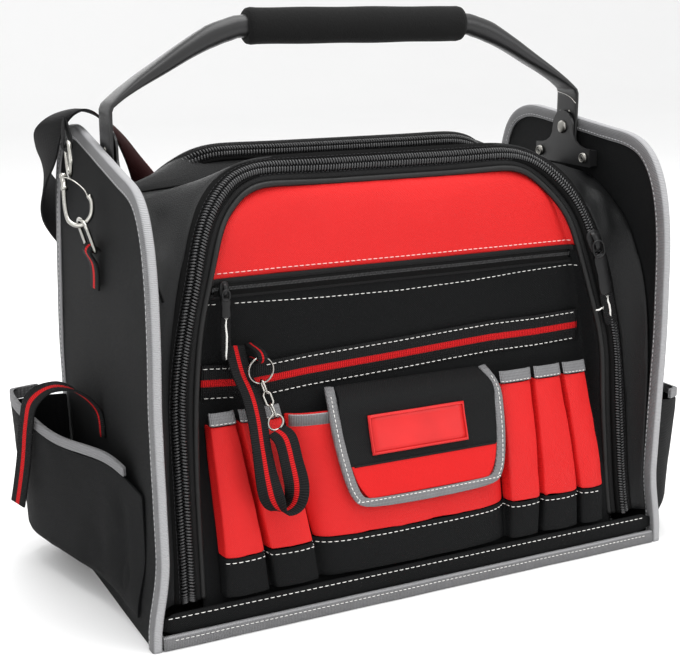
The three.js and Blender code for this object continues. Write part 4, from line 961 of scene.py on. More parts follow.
def front_bands():
    skin = Skin(door_pieces["door"], door_pieces["crown"])
    places = []
    for at, normal in skin.lay(row(-156, 156, [(x, BAND_HEIGHT + sag) for x, sag in BAND_SAG], 3.0), -300, FRONT, 1.6):
        places.append((at, normal))
    line = [at for at, normal in places]
    shape = sweep(stops(line, UP), flat_band(BAND_WIDTH, 1.9))
    band = piece("webbing_front", shape, "webbing", replaces=("webbing_band",))
    slit = skin.lay(row(-145, 145, SLIT_HEIGHT, 3.0), -300, FRONT, 1.0)
    edge = [(-4.8, -0.9), (4.8, -0.9), (4.8, 0.6), (1.6, 0.75), (1.4, 0.2), (-1.4, 0.2), (-1.6, 0.75), (-4.8, 0.6)]
    piece("slit_tape", sweep(stops([at for at, normal in slit], UP), edge), "zip_tape",
          replaces=("zip_slit",))
    route = [(at, UP.copy(), normal) for at, normal in skin.lay(row(-146, 146, SLIT_HEIGHT, 1.0), -300, FRONT, 1.1)]
    small = []
    section = circle(0.8, 5)
    for k in range(len(route) - 1):
        at, across, out = route[k]
        for side in (-1, 1):
            start = at + Vector((0.5 if side > 0 else 0, 0, 0))
            line = [start + UP * (side * 1.7) + out * 0.1, start + UP * (side * 0.9) + out * 0.6, start + out * 0.5]
            small.append(sweep(stops(line, Vector((1, 0, 0))), section))
    piece("slit_coil", merged(small), "zip")
    lips = []
    for offset in (-5.2, 5.2):
        line = [at for at, normal in skin.lay(row(-148, 148, SLIT_HEIGHT + offset, 3.0), -300, FRONT, 0.9)]
        lips.append(sweep(stops(line, UP), [(-1.7, -0.9), (1.7, -0.9), (1.8, 0.3), (0.8, 1.1), (-0.8, 1.1), (-1.8, 0.3)]))
    piece("slit_lips", merged(lips), "black_front_fold")
    return skin, band


def front_stitches(skin, band):
    white, pink = [], []
    for x0, x1 in ((-152, -140), (-129, 152)):
        white += stitch(skin.lay(row(x0, x1, SLIT_STITCH), -300, FRONT))
    pink += stitch(skin.lay(row(-149, 149, 240.5), -300, FRONT), 3.4, 1.0, 0.8)
    on_band = Skin(band)
    for rise in (-10.4, 10.4):
        heights = [(x, BAND_HEIGHT + sag + rise) for x, sag in BAND_SAG]
        for x0, x1 in ((-154, -128), (-108, 154)):
            white += stitch(on_band.lay(row(x0, x1, heights), -300, FRONT))
    piece("stitches_front", merged(white), "white_thread")
    piece("stitches_crown", merged(pink), "pink_thread")


front_skin, front_band = front_bands()
front_stitches(front_skin, front_band)


# The row of pockets, their black boots and bound mouths

POCKETS = ["left_outer", "left_inner", "middle", "right_inner", "right_middle", "right_outer"]
POCKET_TOP = 148
POCKET_BINDING = 8.5
BOOT_TOP = 54


def pocket_relief(at, normal):
    lift = 0.9 * wave(Vector((at.x, at.y, at.z * 0.35)), 17, 2.0) + 0.4 * wave(Vector((at.x, at.y, at.z * 0.5)), 8, 7.0)
    fade = max(0.0, min(1.0, (POCKET_TOP - 6 - at.z) / 20))
    return normal * lift * fade


def pockets():
    walls, bindings = [], []
    for word in POCKETS:
        walls.append(soft(f"pocket_cloth_{word}", f"pocket_{word}", "red_front", 3, pocket_relief))
        if word != "middle":
            bindings.append(soft(f"pocket_tape_{word}", f"pocket_binding_{word}", "tape_front", 3))
    middle = walls[POCKETS.index("middle")]
    start = min(vertex.co.x / MM for vertex in middle.data.vertices) + 2.5
    height = max(vertex.co.z / MM for vertex in middle.data.vertices) - 4.9
    laid = Skin(middle).lay(row(start, -20, height), -300, FRONT, 0.5)
    piece("pocket_tape_middle", sweep(stops([at for at, normal in laid], UP), flat_band(POCKET_BINDING, 1.6)), "tape")
    boots = soft("pocket_boot_cloth", "pocket_boots", "black_front", 2,
                 lambda at, normal: normal * 0.5 * wave(at, 14, 3.0))
    white = stitch(Skin(boots).lay(row(-156, 156, BOOT_TOP - 3.2, 1.0), -300, FRONT))
    grey = []
    for binding in bindings:
        xs = [vertex.co.x / MM for vertex in binding.data.vertices]
        line = row(min(xs) + 0.8, max(xs) - 0.8, POCKET_TOP - POCKET_BINDING + 1.4, 1.0)
        grey += stitch(Skin(binding).lay(line, -300, FRONT), 2.2, 1.0, 0.5)
    piece("stitches_boots", merged(white), "white_thread")
    piece("stitches_pocket_tape", merged(grey), "white_thread")
    return walls


def grey_front():
    """Grey tape on pieces without corner coordinates, its ribs worked out from place."""
    finish = Finish("tape_front")
    place, (x, y, z) = finish.place()
    ribs = finish.math("SINE", finish.math("MULTIPLY", x, 2 * math.pi / 0.00115))
    lines = finish.math("SINE", finish.math("MULTIPLY", z, 2 * math.pi / 0.0019))
    weave = finish.math("ADD", finish.math("MULTIPLY", ribs, 0.5), finish.math("MULTIPLY", lines, 0.25))
    patches = finish.noise(place, 60.0, 3.0)
    shade = finish.math("ADD", finish.band(weave, -0.75, 0.75, 0.05, 0.6), finish.math("MULTIPLY", patches, 0.4))
    dark = rgb(*(channel * 0.55 for channel in GREY))
    light = rgb(*(channel * 1.25 for channel in GREY))
    finish.surface(finish.blend(shade, dark, light), 0.62, specular=0.3)
    finish.bump(weave, 0.3 * MM)
    return finish.material


materials["tape_front"] = grey_front()
pocket_walls = pockets()


# The flap, its binding and its bare patch

FLAP_SPLIT = 101.5
FLAP_TOP = 152
PATCH_LOW = (-41, 107)
PATCH_HIGH = (38, 134)


def flap_cloth():
    """Black cloth above, red below a straight seam."""
    finish = Finish("flap_cloth")
    place, (x, y, z) = finish.place()
    weave = threads(finish, x, z, 1.3)
    fuzz = finish.noise(place, 900.0)
    cloudy = finish.noise(place, 18.0, 3.0)
    shade = finish.math("ADD", finish.band(weave, -1.0, 1.0, 0.1, 0.6), finish.math("MULTIPLY", cloudy, 0.4))
    below = finish.math("LESS_THAN", z, FLAP_SPLIT * MM)
    black = finish.blend(shade, rgb(*(c * 0.8 for c in BLACK)), rgb(*(c * 1.2 for c in BLACK)))
    red = finish.blend(shade, rgb(*(c * 0.9 for c in RED)), rgb(*(c * 1.1 for c in RED)))
    finish.surface(finish.blend(below, black, red), finish.band(fuzz, 0.2, 0.8, 0.55, 0.7), specular=0.15)
    finish.bump(finish.math("ADD", weave, finish.math("MULTIPLY", fuzz, 0.8)), 0.16 * MM)
    return finish.material


materials["flap_cloth"] = flap_cloth()


def flap_relief(at, normal):
    share = (FLAP_TOP - at.z) / 81
    roll = 2.6 * math.exp(-(((share - 0.12) / 0.14) ** 2))
    return Vector((0, -roll - 0.4 * wave(at, 30, 4.0), 0))


def flap():
    cloth_piece = soft("flap_panel", "flap", "flap_cloth", 3, flap_relief)
    tape_piece = soft("flap_tape", "flap_binding", "tape_front", 2, flap_relief)
    seam = Skin(cloth_piece).lay(row(-59, 61, FLAP_SPLIT, 3.0), -300, FRONT, 0.15)
    line = [at for at, normal in seam]
    piece("flap_seam", sweep(stops(line, UP), flat_band(1.6, 0.9)), "black_front_fold")
    inset = []
    edge = [(-64.5, 148), (-66.3, 140), (-66, 128), (-64.8, 112), (-62.5, 96), (-60.5, 87), (-56, 79.5), (-48, 77.5)]
    left = [spot(x + 0.5, 0, z) for x, z in edge]
    right = [spot(4 - point.x, 0, point.z) for point in reversed(left)]
    inset = curve([*left, *right], 1.5)
    white = stitch(Skin(tape_piece).lay(inset, -300, FRONT), 2.4, 1.1, 0.6)
    piece("stitches_flap", merged(white), "white_thread")
    patch_skin = Skin(cloth_piece)
    (x0, z0), (x1, z1) = PATCH_LOW, PATCH_HIGH
    rim = [(x0, z0), (x1, z0), (x1, z1), (x0, z1)]
    columns = [between(x0, x1, k / 12) for k in range(13)]
    rows_up = [between(z0, z1, k / 6) for k in range(7)]
    grid = [[patch_skin.lay([spot(x, 0, z)], -300, FRONT, 1.5)[0][0] for x in columns] for z in rows_up]
    points = [point for line in grid for point in line] + [point + Vector((0, 1.3, 0)) for line in grid for point in line]
    wide, tall = 13, 7
    faces = []
    for r in range(tall - 1):
        for c in range(wide - 1):
            a = r * wide + c
            faces.append((a, a + 1, a + wide + 1, a + wide))
            b = a + wide * tall
            faces.append((b, b + wide, b + wide + 1, b + 1))
    ring = [*range(wide), *(r * wide + wide - 1 for r in range(1, tall)),
            *(wide * (tall - 1) + c for c in range(wide - 2, -1, -1)), *(r * wide for r in range(tall - 2, 0, -1))]
    for a, b in zip(ring, ring[1:] + ring[:1]):
        faces.append((a, a + wide * tall, b + wide * tall, b))
    piece("patch_plate", (points, faces, []), "rubber", replaces=("flap_patch",))
    corners = []
    for k in range(4):
        (ax, az), (bx, bz) = rim[k], rim[(k + 1) % 4]
        for share in (0.02, 0.25, 0.5, 0.75, 0.98):
            corners.append(spot(between(ax, bx, share), 0, between(az, bz, share)))
    middle = spot((x0 + x1) / 2, 0, (z0 + z1) / 2)
    inner = [middle + Vector(((p.x - middle.x) * 0.975, 0, (p.z - middle.z) * 0.92)) for p in corners]
    laid = patch_skin.lay(inner, -300, FRONT, 1.75)
    path = [at for at, normal in laid]
    piece("patch_rim", sweep(stops(path, FRONT, True), circle(1.5, 6), True), "rubber")
    return cloth_piece


flap_piece = flap()


# The base


def base():
    soft("base_cloth", "base_board", "black_top", 1, sharp=30)
    strip = soft("base_strip_cloth_front", "base_strip_front", "black_front", 2, sharp=30,
                 relief=lambda at, normal: Vector((0, 0, 0)))
    soft("base_strip_cloth_rear", "base_strip_rear", "black_front", 2, sharp=30)
    low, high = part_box("base_binding_front")
    low, high = low / MM, high / MM
    depth, tall = high.y - low.y, high.z - low.z
    line = [spot(between(low.x + 0.5, high.x - 0.5, k / 90), 0, 0) for k in range(91)]
    places = []
    for at in line:
        sway = 0.5 * wave(at, 40, 3.0)
        crumple = 0.9 * wave(at, 9, 6.0) * math.exp(-(((at.x - low.x) / 22) ** 2))
        places.append(spot(at.x, low.y + depth / 2 + sway + crumple, tall / 2 + 0.3 * abs(sway) + abs(crumple)))
    a, b = tall / 2, depth / 2
    section = [(-a, -b), (-a, b - 1.2), (-a + 1, b), (a - 2, b), (a, b - 1.0), (a + 0.4, b - 2), (a + 0.4, -b)]
    places = stops(places, UP)
    side = -1 if places[0][2].y > 0 else 1
    shape = sweep(places, [(p, q * side) for p, q in section])
    binding = piece("base_tape", shape, "tape", replaces=("base_binding_front",))
    white = stitch(Skin(strip).lay(row(-199, 199, 21.0, 2.0), -300, FRONT))
    grey = stitch(Skin(binding).lay(row(-196, 196, 7.2, 2.0), -300, FRONT), 2.4, 1.2, 0.55)
    piece("stitches_base", merged(white), "white_thread")
    piece("stitches_base_tape", merged(grey), "white_thread")


base()


# The side pockets and the webbing over their mouths


def side_relief(way):
    def relief(at, normal):
        lift = 1.5 * wave(at, 42, 4.0 * way) + 0.5 * wave(at, 15, 2.0)
        pleat = ridge(at.y, at.z, ((-62, 92), (-66, 24)), 6, -4.5) + ridge(at.y, at.z, ((-46, 96), (-42, 30)), 9, 3.0)
        off = min(1.0, max(0.0, (abs(at.x) - 208) / 5))
        return normal * (lift + pleat * 0.6) * off * 0.7
    return relief


def side_pockets():
    for word, way in (("left", -1), ("right", 1)):
        soft(f"side_cloth_{word}", f"side_pocket_{word}", "black_side", 3, side_relief(way))
        soft(f"side_rim_{word}", f"side_binding_{word}", "tape_side", 3)
        node = f"side_tape_{word}"
        low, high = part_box(node)
        nearest = min((corner.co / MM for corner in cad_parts[node].data.vertices),
                      key=lambda at: (at.z - 0.86 * 130) ** 2 * 0.01 + (abs(at.x) - 205) ** 2)
        route = ribbon_route(node, lambda at: abs(at.x) < 207.5 and at.z < 0.5 * (nearest.z + 118))
        piece(f"side_webbing_{word}", ribbon(route, 14, 1.9), "narrow_webbing", replaces=(node,))


def grey_side():
    finish = Finish("tape_side")
    place, (x, y, z) = finish.place()
    ribs = finish.math("SINE", finish.math("MULTIPLY", y, 2 * math.pi / 0.00115))
    lines = finish.math("SINE", finish.math("MULTIPLY", z, 2 * math.pi / 0.0019))
    weave = finish.math("ADD", finish.math("MULTIPLY", ribs, 0.5), finish.math("MULTIPLY", lines, 0.25))
    patches = finish.noise(place, 60.0, 3.0)
    shade = finish.math("ADD", finish.band(weave, -0.75, 0.75, 0.05, 0.6), finish.math("MULTIPLY", patches, 0.4))
    dark = rgb(*(channel * 0.55 for channel in GREY))
    light = rgb(*(channel * 1.25 for channel in GREY))
    finish.surface(finish.blend(shade, dark, light), 0.62, specular=0.3)
    finish.bump(weave, 0.3 * MM)
    return finish.material


materials["tape_side"] = grey_side()
side_pockets()


# The handle

PIVOT = Vector((0, 4, 318))
TAB_HALF = 192.3
GRIP_RISE = 82.5
HANDLE_LINE = [
    # across, rise, flat
    (1.0, -0.17, 1.0), (1.0, 0.0, 1.0), (1.0, 0.33, 1.0), (0.993, 0.37, 0.97), (0.95, 0.45, 0.75), (0.88, 0.555, 0.45),
    (0.79, 0.675, 0.22), (0.69, 0.81, 0.08), (0.6, 0.915, 0.0), (0.53, 0.97, 0.0), (0.46, 1.0, 0.0), (0.2, 1.0, 0.0),
]
TUBE = 16
TAB_WIDE, TAB_THICK = 27, 3
GRIP_LONG, GRIP_WIDE = 177, 26


def rounded_tab(wide, thick, power, sides=24):
    """A section between a round tube and a flat tab."""
    made = []
    for k in range(sides):
        turn = 2 * math.pi * k / sides
        c, s = math.cos(turn), math.sin(turn)
        made.append((wide / 2 * math.copysign(abs(c) ** power, c), thick / 2 * math.copysign(abs(s) ** power, s)))
    return made


def handle():
    half = [(spot(-a * TAB_HALF, 0, r * GRIP_RISE), Vector((f, 0, 0))) for a, r, f in HANDLE_LINE]
    other = [(spot(-at.x, 0, at.z), flat) for at, flat in reversed(half)]
    route = curve([*half[:4]], 6.0)[:-1] + curve([*half[3:], *other[:-3]], 5.0)[:-1] + curve(other[-4:], 6.0)
    places = stops([at + PIVOT for at, flat in route], Vector((0, 1, 0)))
    points, faces, corners = [], [], []
    sides = 24
    for (at, across, out), (unused, flat) in zip(places, route):
        share = max(0.0, min(1.0, flat.x))
        wide = between(TUBE, TAB_WIDE, share)
        thick = between(TUBE, TAB_THICK, share ** 0.6)
        power = between(1.0, 0.5, share ** 0.5)
        points += [at + across * a + out * b for a, b in rounded_tab(wide, thick, power, sides)]
    for k in range(len(places) - 1):
        for n in range(sides):
            m = (n + 1) % sides
            faces.append((k * sides + n, k * sides + m, (k + 1) * sides + m, (k + 1) * sides + n))
    faces.append(tuple(reversed(range(sides))))
    faces.append(tuple((len(places) - 1) * sides + n for n in range(sides)))
    piece("handle_bar", (points, faces, corners), "coat", "handle", ("handle_tube",))
    profile = [(-GRIP_LONG / 2, 17.2), (-GRIP_LONG / 2, 22.5), (-GRIP_LONG / 2 + 1.2, 25.0), (-GRIP_LONG / 2 + 4, 26.2)]
    profile += [(x, 26 + 0.35 * math.sin(x * 0.11) + 0.25 * math.sin(x * 0.037 + 1)) for x in range(-80, 81, 8)]
    profile += [(-x, width) for x, width in reversed(profile[:4])]
    line = [spot(x, 0, GRIP_RISE) + PIVOT for x, width in profile]
    places = [(at, Vector((0, 1, 0)), UP.copy()) for at in line]
    grip = piece("foam_grip", sweep(places, circle(1.0, 40), scale=[width for x, width in profile]), "foam",
                 "handle", ("handle_grip",))
    return grip


def dome(at, way, diameter, height, rim=0.0):
    """A round head that stands out along a direction."""
    way = way.normalized()
    side = way.orthogonal().normalized()
    rows_out = [(-0.6, 1.0), (0.0, 1.0), (0.45, 0.96), (0.8, 0.75), (0.97, 0.4), (1.0, 0.06)]
    places = [(at + way * (h * height), side, way.cross(side)) for h, r in rows_out]
    return sweep(places, circle(diameter, 20), scale=[r for h, r in rows_out])


def screw(at, way):
    """A low round head with a six-sided socket and a raised rim."""
    parts = [dome(at, Vector((-way, 0, 0)), 8.4, 1.2)]
    face = at + Vector((-way * 1.15, 0, 0))
    for radius, thread, sides in ((3.3, 1.1, 24), (1.7, 0.7, 6)):
        loop = [face + Vector((0, radius * math.cos(t), radius * math.sin(t)))
                for t in [2 * math.pi * k / sides for k in range(sides)]]
        parts.append(sweep(stops(loop, Vector((1, 0, 0)), True), circle(thread, 6), True))
    return parts


def fasteners():
    """The brackets with their screws, and the rivets that the handle turns on."""
    for word, way in (("left", -1), ("right", 1)):
        low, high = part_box(f"handle_rivet_{word}")
        inner, outer = ((low.x, high.x) if way > 0 else (high.x, low.x))
        head = spot(inner / MM + way * 1.6, PIVOT.y, PIVOT.z)
        shank = [head, spot(outer / MM, PIVOT.y, PIVOT.z)]
        parts = [dome(head, Vector((-way, 0, 0)), 10.5, 1.8), sweep(stops(shank, UP), circle(5, 12))]
        piece(f"rivet_head_{word}", merged(parts), "dull_steel", replaces=(f"handle_rivet_{word}",))
        low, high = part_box(f"handle_bracket_{word}")
        plane = (high.x if way < 0 else low.x) / MM
        screws = []
        socket_shades = []
        for y in (-29.5, 29.5):
            at = spot(plane + way * 0.5, PIVOT.y + y, PIVOT.z - 22)
            screws += screw(at, way)
            # A small dark disc in each screw head: painted shade in its six-sided socket.
            socket_shades.append(dome(at + Vector((-way * 1.25, 0, 0)), Vector((-way, 0, 0)), 2.6, 0.15))
        piece(f"bracket_screws_{word}", merged(screws), "dull_steel")
        piece(f"screw_socket_shades_{word}", merged(socket_shades), "pull")
        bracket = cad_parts[f"handle_bracket_{word}"]
        bracket.data.materials.clear()
        bracket.data.materials.append(materials["coat"])
        bevel = bracket.modifiers.new("edges", "BEVEL")
        bevel.width = 0.35 * MM
        bevel.segments = 2
        dimples = [dome(spot(way * (TAB_HALF - TAB_THICK / 2 + 0.15), PIVOT.y + y, PIVOT.z + z), Vector((-way, 0, 0)),
                        2.6, 0.5) for y, z in ((7.5, 11.5), (-4.5, 12.5))]
        piece(f"tab_dimples_{word}", merged(dimples), "dull_steel", "handle")
    line = [spot(TAB_HALF - TAB_THICK / 2 - 0.2, PIVOT.y + y, PIVOT.z + z)
            for y, z in ((13.0, 27.5), (6, 26.6), (0, 25.6), (-6, 23.8), (-13.0, 19.8))]
    piece("tab_thread", sweep(stops(curve(line, 1.5), Vector((1, 0, 0))), circle(0.5, 6)), "white_thread",
          "handle")


handle()
fasteners()


# Rings, hooks and chain

TAB_EYE = Vector((208.1, -3, 251))
LINK_WIRE, LINK_LENGTH, LINK_WIDTH = 2.8, 26, 24
HOOK_WIRE, HOOK_LENGTH, HOOK_WIDTH, HOOK_PLAY = 3.4, 60, 19, 1.4
EYE_TURN = 1.1
HANGS = {
    "left": (-1, Vector((-0.3, 0, 0.954)), Vector((0.06, 0.45, 0.89)), Vector((0.8, -0.6, 0))),
    "right": (1, Vector((0.45, 0, -0.893)), Vector((0.03, 0.5, -0.866)), Vector((-0.8, -0.6, 0))),
}


def stadium(length, width, foot, top, steps=8):
    """A closed loop line in X and Z with its own roundness at the foot and the top."""
    points = []
    for right, up, radius, quarter in ((1, 1, top, 0), (-1, 1, top, 1), (-1, -1, foot, 2), (1, -1, foot, 3)):
        for k in range(steps):
            turn = math.pi / 2 * (quarter + (k + 0.5) / steps)
            x, z = right * (width / 2 - radius), up * (length / 2 - radius)
            points.append(spot(x + radius * math.cos(turn), 0, z + radius * math.sin(turn)))
    return points


def wire(points, diameter, closed=False, scale=None, sides=10):
    return sweep(stops(points, Vector((0, 1, 0)), closed), circle(diameter, sides), closed, scale)


def turned(shape, across, up, at):
    """A shape drawn in X and Z, set up in a place."""
    z = up.normalized()
    x = (across - z * across.dot(z)).normalized()
    matrix = Matrix((x, z.cross(x), z)).transposed()
    points, faces, corners = shape
    return [matrix @ point + at for point in points], faces, corners


def hook_shape():
    half = HOOK_WIDTH / 2
    path = [spot(half - 1.5, 0, 20), spot(half, 0, 14), spot(half - 2, 0, 5), spot(0, 0, 0), spot(-half + 2, 0, 4),
            spot(-half, 0, 12), spot(-half, 0, 24), spot(-half + 1, 0, 38)]
    fine = curve(path, 1.6)
    parts = [wire(fine, HOOK_WIRE, scale=[1.25 if k < 2 else 1.0 for k in range(len(fine))])]
    barrel = [spot(-half + 0.6, 0, z) for z in (27, 27.6, 29.5, 30, 36, 36.5, 38.4, 39)]
    parts.append(wire(barrel, HOOK_WIRE * 1.42, scale=[0.85, 1.1, 1.1, 0.9, 0.9, 1.1, 1.1, 0.85], sides=16))
    eye = [Matrix.Rotation(-EYE_TURN, 3, "Z") @ point + spot(-half + 6, 0, HOOK_LENGTH - 12)
           for point in stadium(22, 18, 9, 4)]
    facing = Matrix.Rotation(-EYE_TURN, 3, "Z") @ Vector((0, 1, 0))
    parts.append(sweep(stops(eye, facing, True), circle(HOOK_WIRE - 0.4, 10), True))
    spring = curve([spot(-half + 1, 0, 36), spot(-3, 0, 33.5), spot(half - 4.5, 0, 25), spot(half - 1.8, 0, 18)], 1.5)
    parts.append(sweep(stops(spring, Vector((0, 1, 0))), flat_band(3.8, 0.9)))
    return merged(parts)


def hooks():
    for word, (side, rise, way, across) in HANGS.items():
        eye = Vector((side * TAB_EYE.x, TAB_EYE.y, TAB_EYE.z))
        end = eye + rise * (LINK_LENGTH - LINK_WIRE)
        loop = wire(stadium(LINK_LENGTH - LINK_WIRE, LINK_WIDTH - LINK_WIRE, 3, 9), LINK_WIRE, True)
        shape = turned(loop, Vector((0, 1, 0)), rise, end - rise * ((LINK_LENGTH - LINK_WIRE) / 2))
        piece(f"oval_link_{word}", shape, "steel", replaces=(f"ring_link_{word}",))
        foot = end - way.normalized() * ((LINK_WIRE + HOOK_WIRE) / 2 + HOOK_PLAY)
        piece(f"hook_{word}", turned(hook_shape(), across, way, foot), "steel",
              replaces=(f"snap_hook_{word}",))
        node = f"ring_tab_{word}"
        low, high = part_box(node)
        bottom = low.z / MM
        route = ribbon_route(node, lambda at: at.z < bottom + 1 and abs(at.x) < 204.6)
        piece(f"hook_webbing_{word}", ribbon(route, 19, 1.8, 2.0), "narrow_webbing",
              replaces=(node,))


hooks()

KEY_RING, KEY_WIRE, SWIVEL_RING = 20, 1.8, 13


def key_hardware():
    for node, name, diameter in (("key_ring", "split_ring", KEY_RING), ("swivel_ring", "end_ring", SWIVEL_RING)):
        low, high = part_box(node)
        middle = (low + high) / 2 / MM
        radius = (diameter - KEY_WIRE) / 2
        parts = []
        for turn_shift, gap in ((0.0, -0.42), (0.5, 0.42)) if node == "key_ring" else ((0.0, 0.0),):
            loop = [middle + Vector((radius * math.cos(t), gap, radius * math.sin(t)))
                    for t in [2 * math.pi * (k + turn_shift) / 40 for k in range(40)]]
            size = 1.0 if node == "key_ring" else KEY_WIRE
            parts.append(sweep(stops(loop, Vector((0, 1, 0)), True), circle(size, 8), True))
        piece(name, merged(parts), "steel", replaces=(node,))
    low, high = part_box("key_chain")
    ring_low, ring_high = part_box("key_ring")
    swivel_low, swivel_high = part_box("swivel_ring")
    top = (ring_low + ring_high) / 2 / MM - Vector((0, 0, (KEY_RING - KEY_WIRE) / 2 - 2.15))
    bottom = (swivel_low + swivel_high) / 2 / MM + Vector((0, 0, (SWIVEL_RING - KEY_WIRE) / 2 - 2.15))
    along = bottom - top
    way = along.normalized()
    parts = []
    count = 3
    pitch = (along.length - 1.2) / count
    for k in range(count):
        middle = top + way * (pitch * k + (pitch + 1.2) / 2)
        across = Vector((1, 0, 0)) if k % 2 else Vector((0, 1, 0))
        parts.append(turned(wire(stadium(pitch + 1.2, 5.4, 2.6, 2.6, 5), 1.5, True, sides=8), across, way, middle))
    piece("key_links", merged(parts), "steel", replaces=("key_chain",))
    low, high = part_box("key_tab")
    tab_low, tab_high = low / MM, high / MM
    layers = rings("key_tab", lambda at: at.y > tab_high.y - 1.2 and at.z > (tab_low.z + tab_high.z) / 2 + 2)
    route = ribbon_route("key_tab", lambda at: at.y > tab_high.y - 0.5 and at.z > (tab_low.z + tab_high.z) / 2 + 2)
    if len(route) > 3:
        piece("key_webbing", ribbon(route, 7, 1.6, 1.5), "webbing", replaces=("key_tab",))
    route = ribbon_route("wrist_loop", lambda at: at.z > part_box("wrist_loop")[1].z / MM - 6)
    ring_foot = (swivel_low + swivel_high) / 2 / MM - Vector((0, 1.5, (SWIVEL_RING - KEY_WIRE) / 2))
    if (route[0][0] - ring_foot).length < (route[-1][0] - ring_foot).length:
        route.reverse()
    route.append((ring_foot, route[-1][1]))
    piece("wrist_webbing", ribbon(route, 17, 1.8, 2.0), "webbing", replaces=("wrist_loop",))


key_hardware()


# The shoulder strap; the rows follow its node: shares of PANEL_HALF, PANEL_REAR and PANEL_TOP, the turn
# of the width in plan, and how far the width stands up

STRAP_ROUTE = [
    (-0.548, 0.98, 0.675, 0.1, -0.2), (-0.581, 0.963, 0.76, 0.25, -0.3), (-0.629, 0.917, 0.843, 0.5, -0.35),
    (-0.7, 0.833, 0.913, 0.85, -0.3), (-0.771, 0.713, 0.967, 1.1, -0.15), (-0.843, 0.602, 1.006, 1.3, -0.05),
    (-0.91, 0.519, 1.027, 1.5, -0.05), (-0.971, 0.481, 1.027, 1.7, -0.12), (-1.014, 0.528, 1.009, 1.8, -0.12),
    (-1.029, 0.648, 0.976, 1.8, 0.0), (-1.017, 0.815, 0.925, 1.65, 0.15), (-1.0, 1.0, 0.87, 1.3, 0.3),
    (-0.975, 1.11, 0.816, 0.95, 0.5), (-0.914, 1.16, 0.767, 0.5, 0.6), (-0.819, 1.139, 0.699, 0.15, 0.8),
    (-0.714, 1.13, 0.617, 0.0, 0.85), (-0.605, 1.12, 0.521, 0.0, 0.8), (-0.51, 1.12, 0.416, 0.0, 0.65),
    (-0.4, 1.12, 0.301, 0.0, 0.8), (-0.262, 1.12, 0.2, 0.0, 1.1), (-0.1, 1.12, 0.143, 0.0, 1.4),
    (0.09, 1.12, 0.136, 0.0, 1.65), (0.275, 1.12, 0.166, 0.0, 1.9), (0.44, 1.12, 0.222, 0.0, 2.05),
    (0.59, 1.12, 0.295, 0.0, 2.12), (0.72, 1.12, 0.38, 0.0, 2.12), (0.845, 1.148, 0.452, 0.0, 1.95),
    (0.952, 1.12, 0.494, -0.3, 1.78), (1.019, 1.0, 0.515, -1.2, 1.62), (1.033, 0.796, 0.524, -1.5, 1.57),
    (1.033, 0.574, 0.527, -1.5, 1.57), (1.033, 0.37, 0.53, -1.5, 1.57),
]
STRAP_WIDTH = 40
EYE_STOP = 8
EYE_BAND, EYE_THICK = 9, 1.5


def strap_eye(word, near):
    """The narrow end of the strap that goes through the eye of a hook."""
    side, rise, way, across = HANGS[word]
    end = Vector((side * TAB_EYE.x, TAB_EYE.y, TAB_EYE.z)) + rise * (LINK_LENGTH - LINK_WIRE)
    z = way.normalized()
    x = (across - z * across.dot(z)).normalized()
    foot = end - way * ((LINK_WIRE + HOOK_WIRE) / 2 + HOOK_PLAY)
    bar = foot + z * (HOOK_LENGTH - 1) + x * (6 - HOOK_WIDTH / 2)
    x = x * math.cos(EYE_TURN) - z.cross(x) * math.sin(EYE_TURN)
    u = near - bar
    u = (u - x * u.dot(x)).normalized()
    v = u.cross(x)
    gap = (HOOK_WIRE - 0.4 + EYE_THICK) / 2 + 0.4
    root = near - u * 2
    path = [root + v * 0.9, bar + u * gap + v * gap, bar - u * (0.4 * gap) + v * gap, bar - u * (1.15 * gap),
            bar - u * (0.4 * gap) - v * gap, bar + u * gap - v * gap, root - v * 0.9]
    return sweep(stops(curve(path, 0.8), x), flat_band(EYE_BAND, EYE_THICK))


def strap():
    route = []
    for share, back, rise, lean, roll in STRAP_ROUTE:
        across = (math.cos(lean) * math.cos(roll), math.sin(lean) * math.cos(roll), math.sin(roll))
        route.append((spot(share * PANEL_HALF, back * PANEL_REAR, rise * PANEL_TOP), Vector(across)))
    fine = curve(route, 3.0)
    places = []
    for k, (at, width) in enumerate(fine):
        along = fine[min(k + 1, len(fine) - 1)][0] - fine[max(k - 1, 0)][0]
        across = width.normalized()
        out = across.cross(along).normalized()
        places.append((at + out * (0.5 * wave(at, 30, 3.0)), across, out))
    a = STRAP_WIDTH / 2
    top = [(-a, 0.0), (0, -0.1), (a, 0.0), (a + 0.1, 0.5), (a - 0.4, 0.95), (0, 1.1), (-a + 0.4, 0.95), (-a - 0.1, 0.5)]
    low = [(-a, 0.1), (-a, -0.7), (-a + 0.4, -0.95), (0, -1.0), (a - 0.4, -0.95), (a, -0.7), (a, 0.1), (0, 0.1)]
    peak = min(range(len(places)), key=lambda k: (places[k][0] - route[EYE_STOP - 2][0]).length)
    both = [sweep(places, low), sweep(places[peak:], top)]
    piece("strap_webbing", merged(both), "plain_webbing", replaces=("shoulder_strap",))
    piece("strap_backing", sweep(places[:peak + 1], top), "backing")
    saddle, lean = route[EYE_STOP]
    last = route[-1][0] + Vector((0, 0.8, 0))
    eyes = [strap_eye("left", saddle - lean * (0.3 * STRAP_WIDTH)), strap_eye("right", last)]
    piece("strap_ends", merged(eyes), "plain_webbing")
    frayed = []
    for k in range(46):
        share = k / 45
        index = int(between(15, 31, share))
        at, across, out = places[index]
        along = (places[index + 1][0] - at).normalized()
        start = at + along * (3 * (k % 3) / 3) + across * (a - 0.2) + out * 0.5
        lean_out = across * (1.2 + 1.3 * abs(wave(start, 4, 2.0))) + along * (1.6 * wave(start, 5, 7.0))
        line = [start, start + lean_out * 0.5 + out * (0.5 * wave(start, 3, 1.0)), start + lean_out]
        frayed.append(sweep(stops(line, out), circle(0.45, 5), scale=[1.0, 0.9, 0.5]))
    piece("strap_frayed_edge", merged(frayed), "red_thread")


strap()


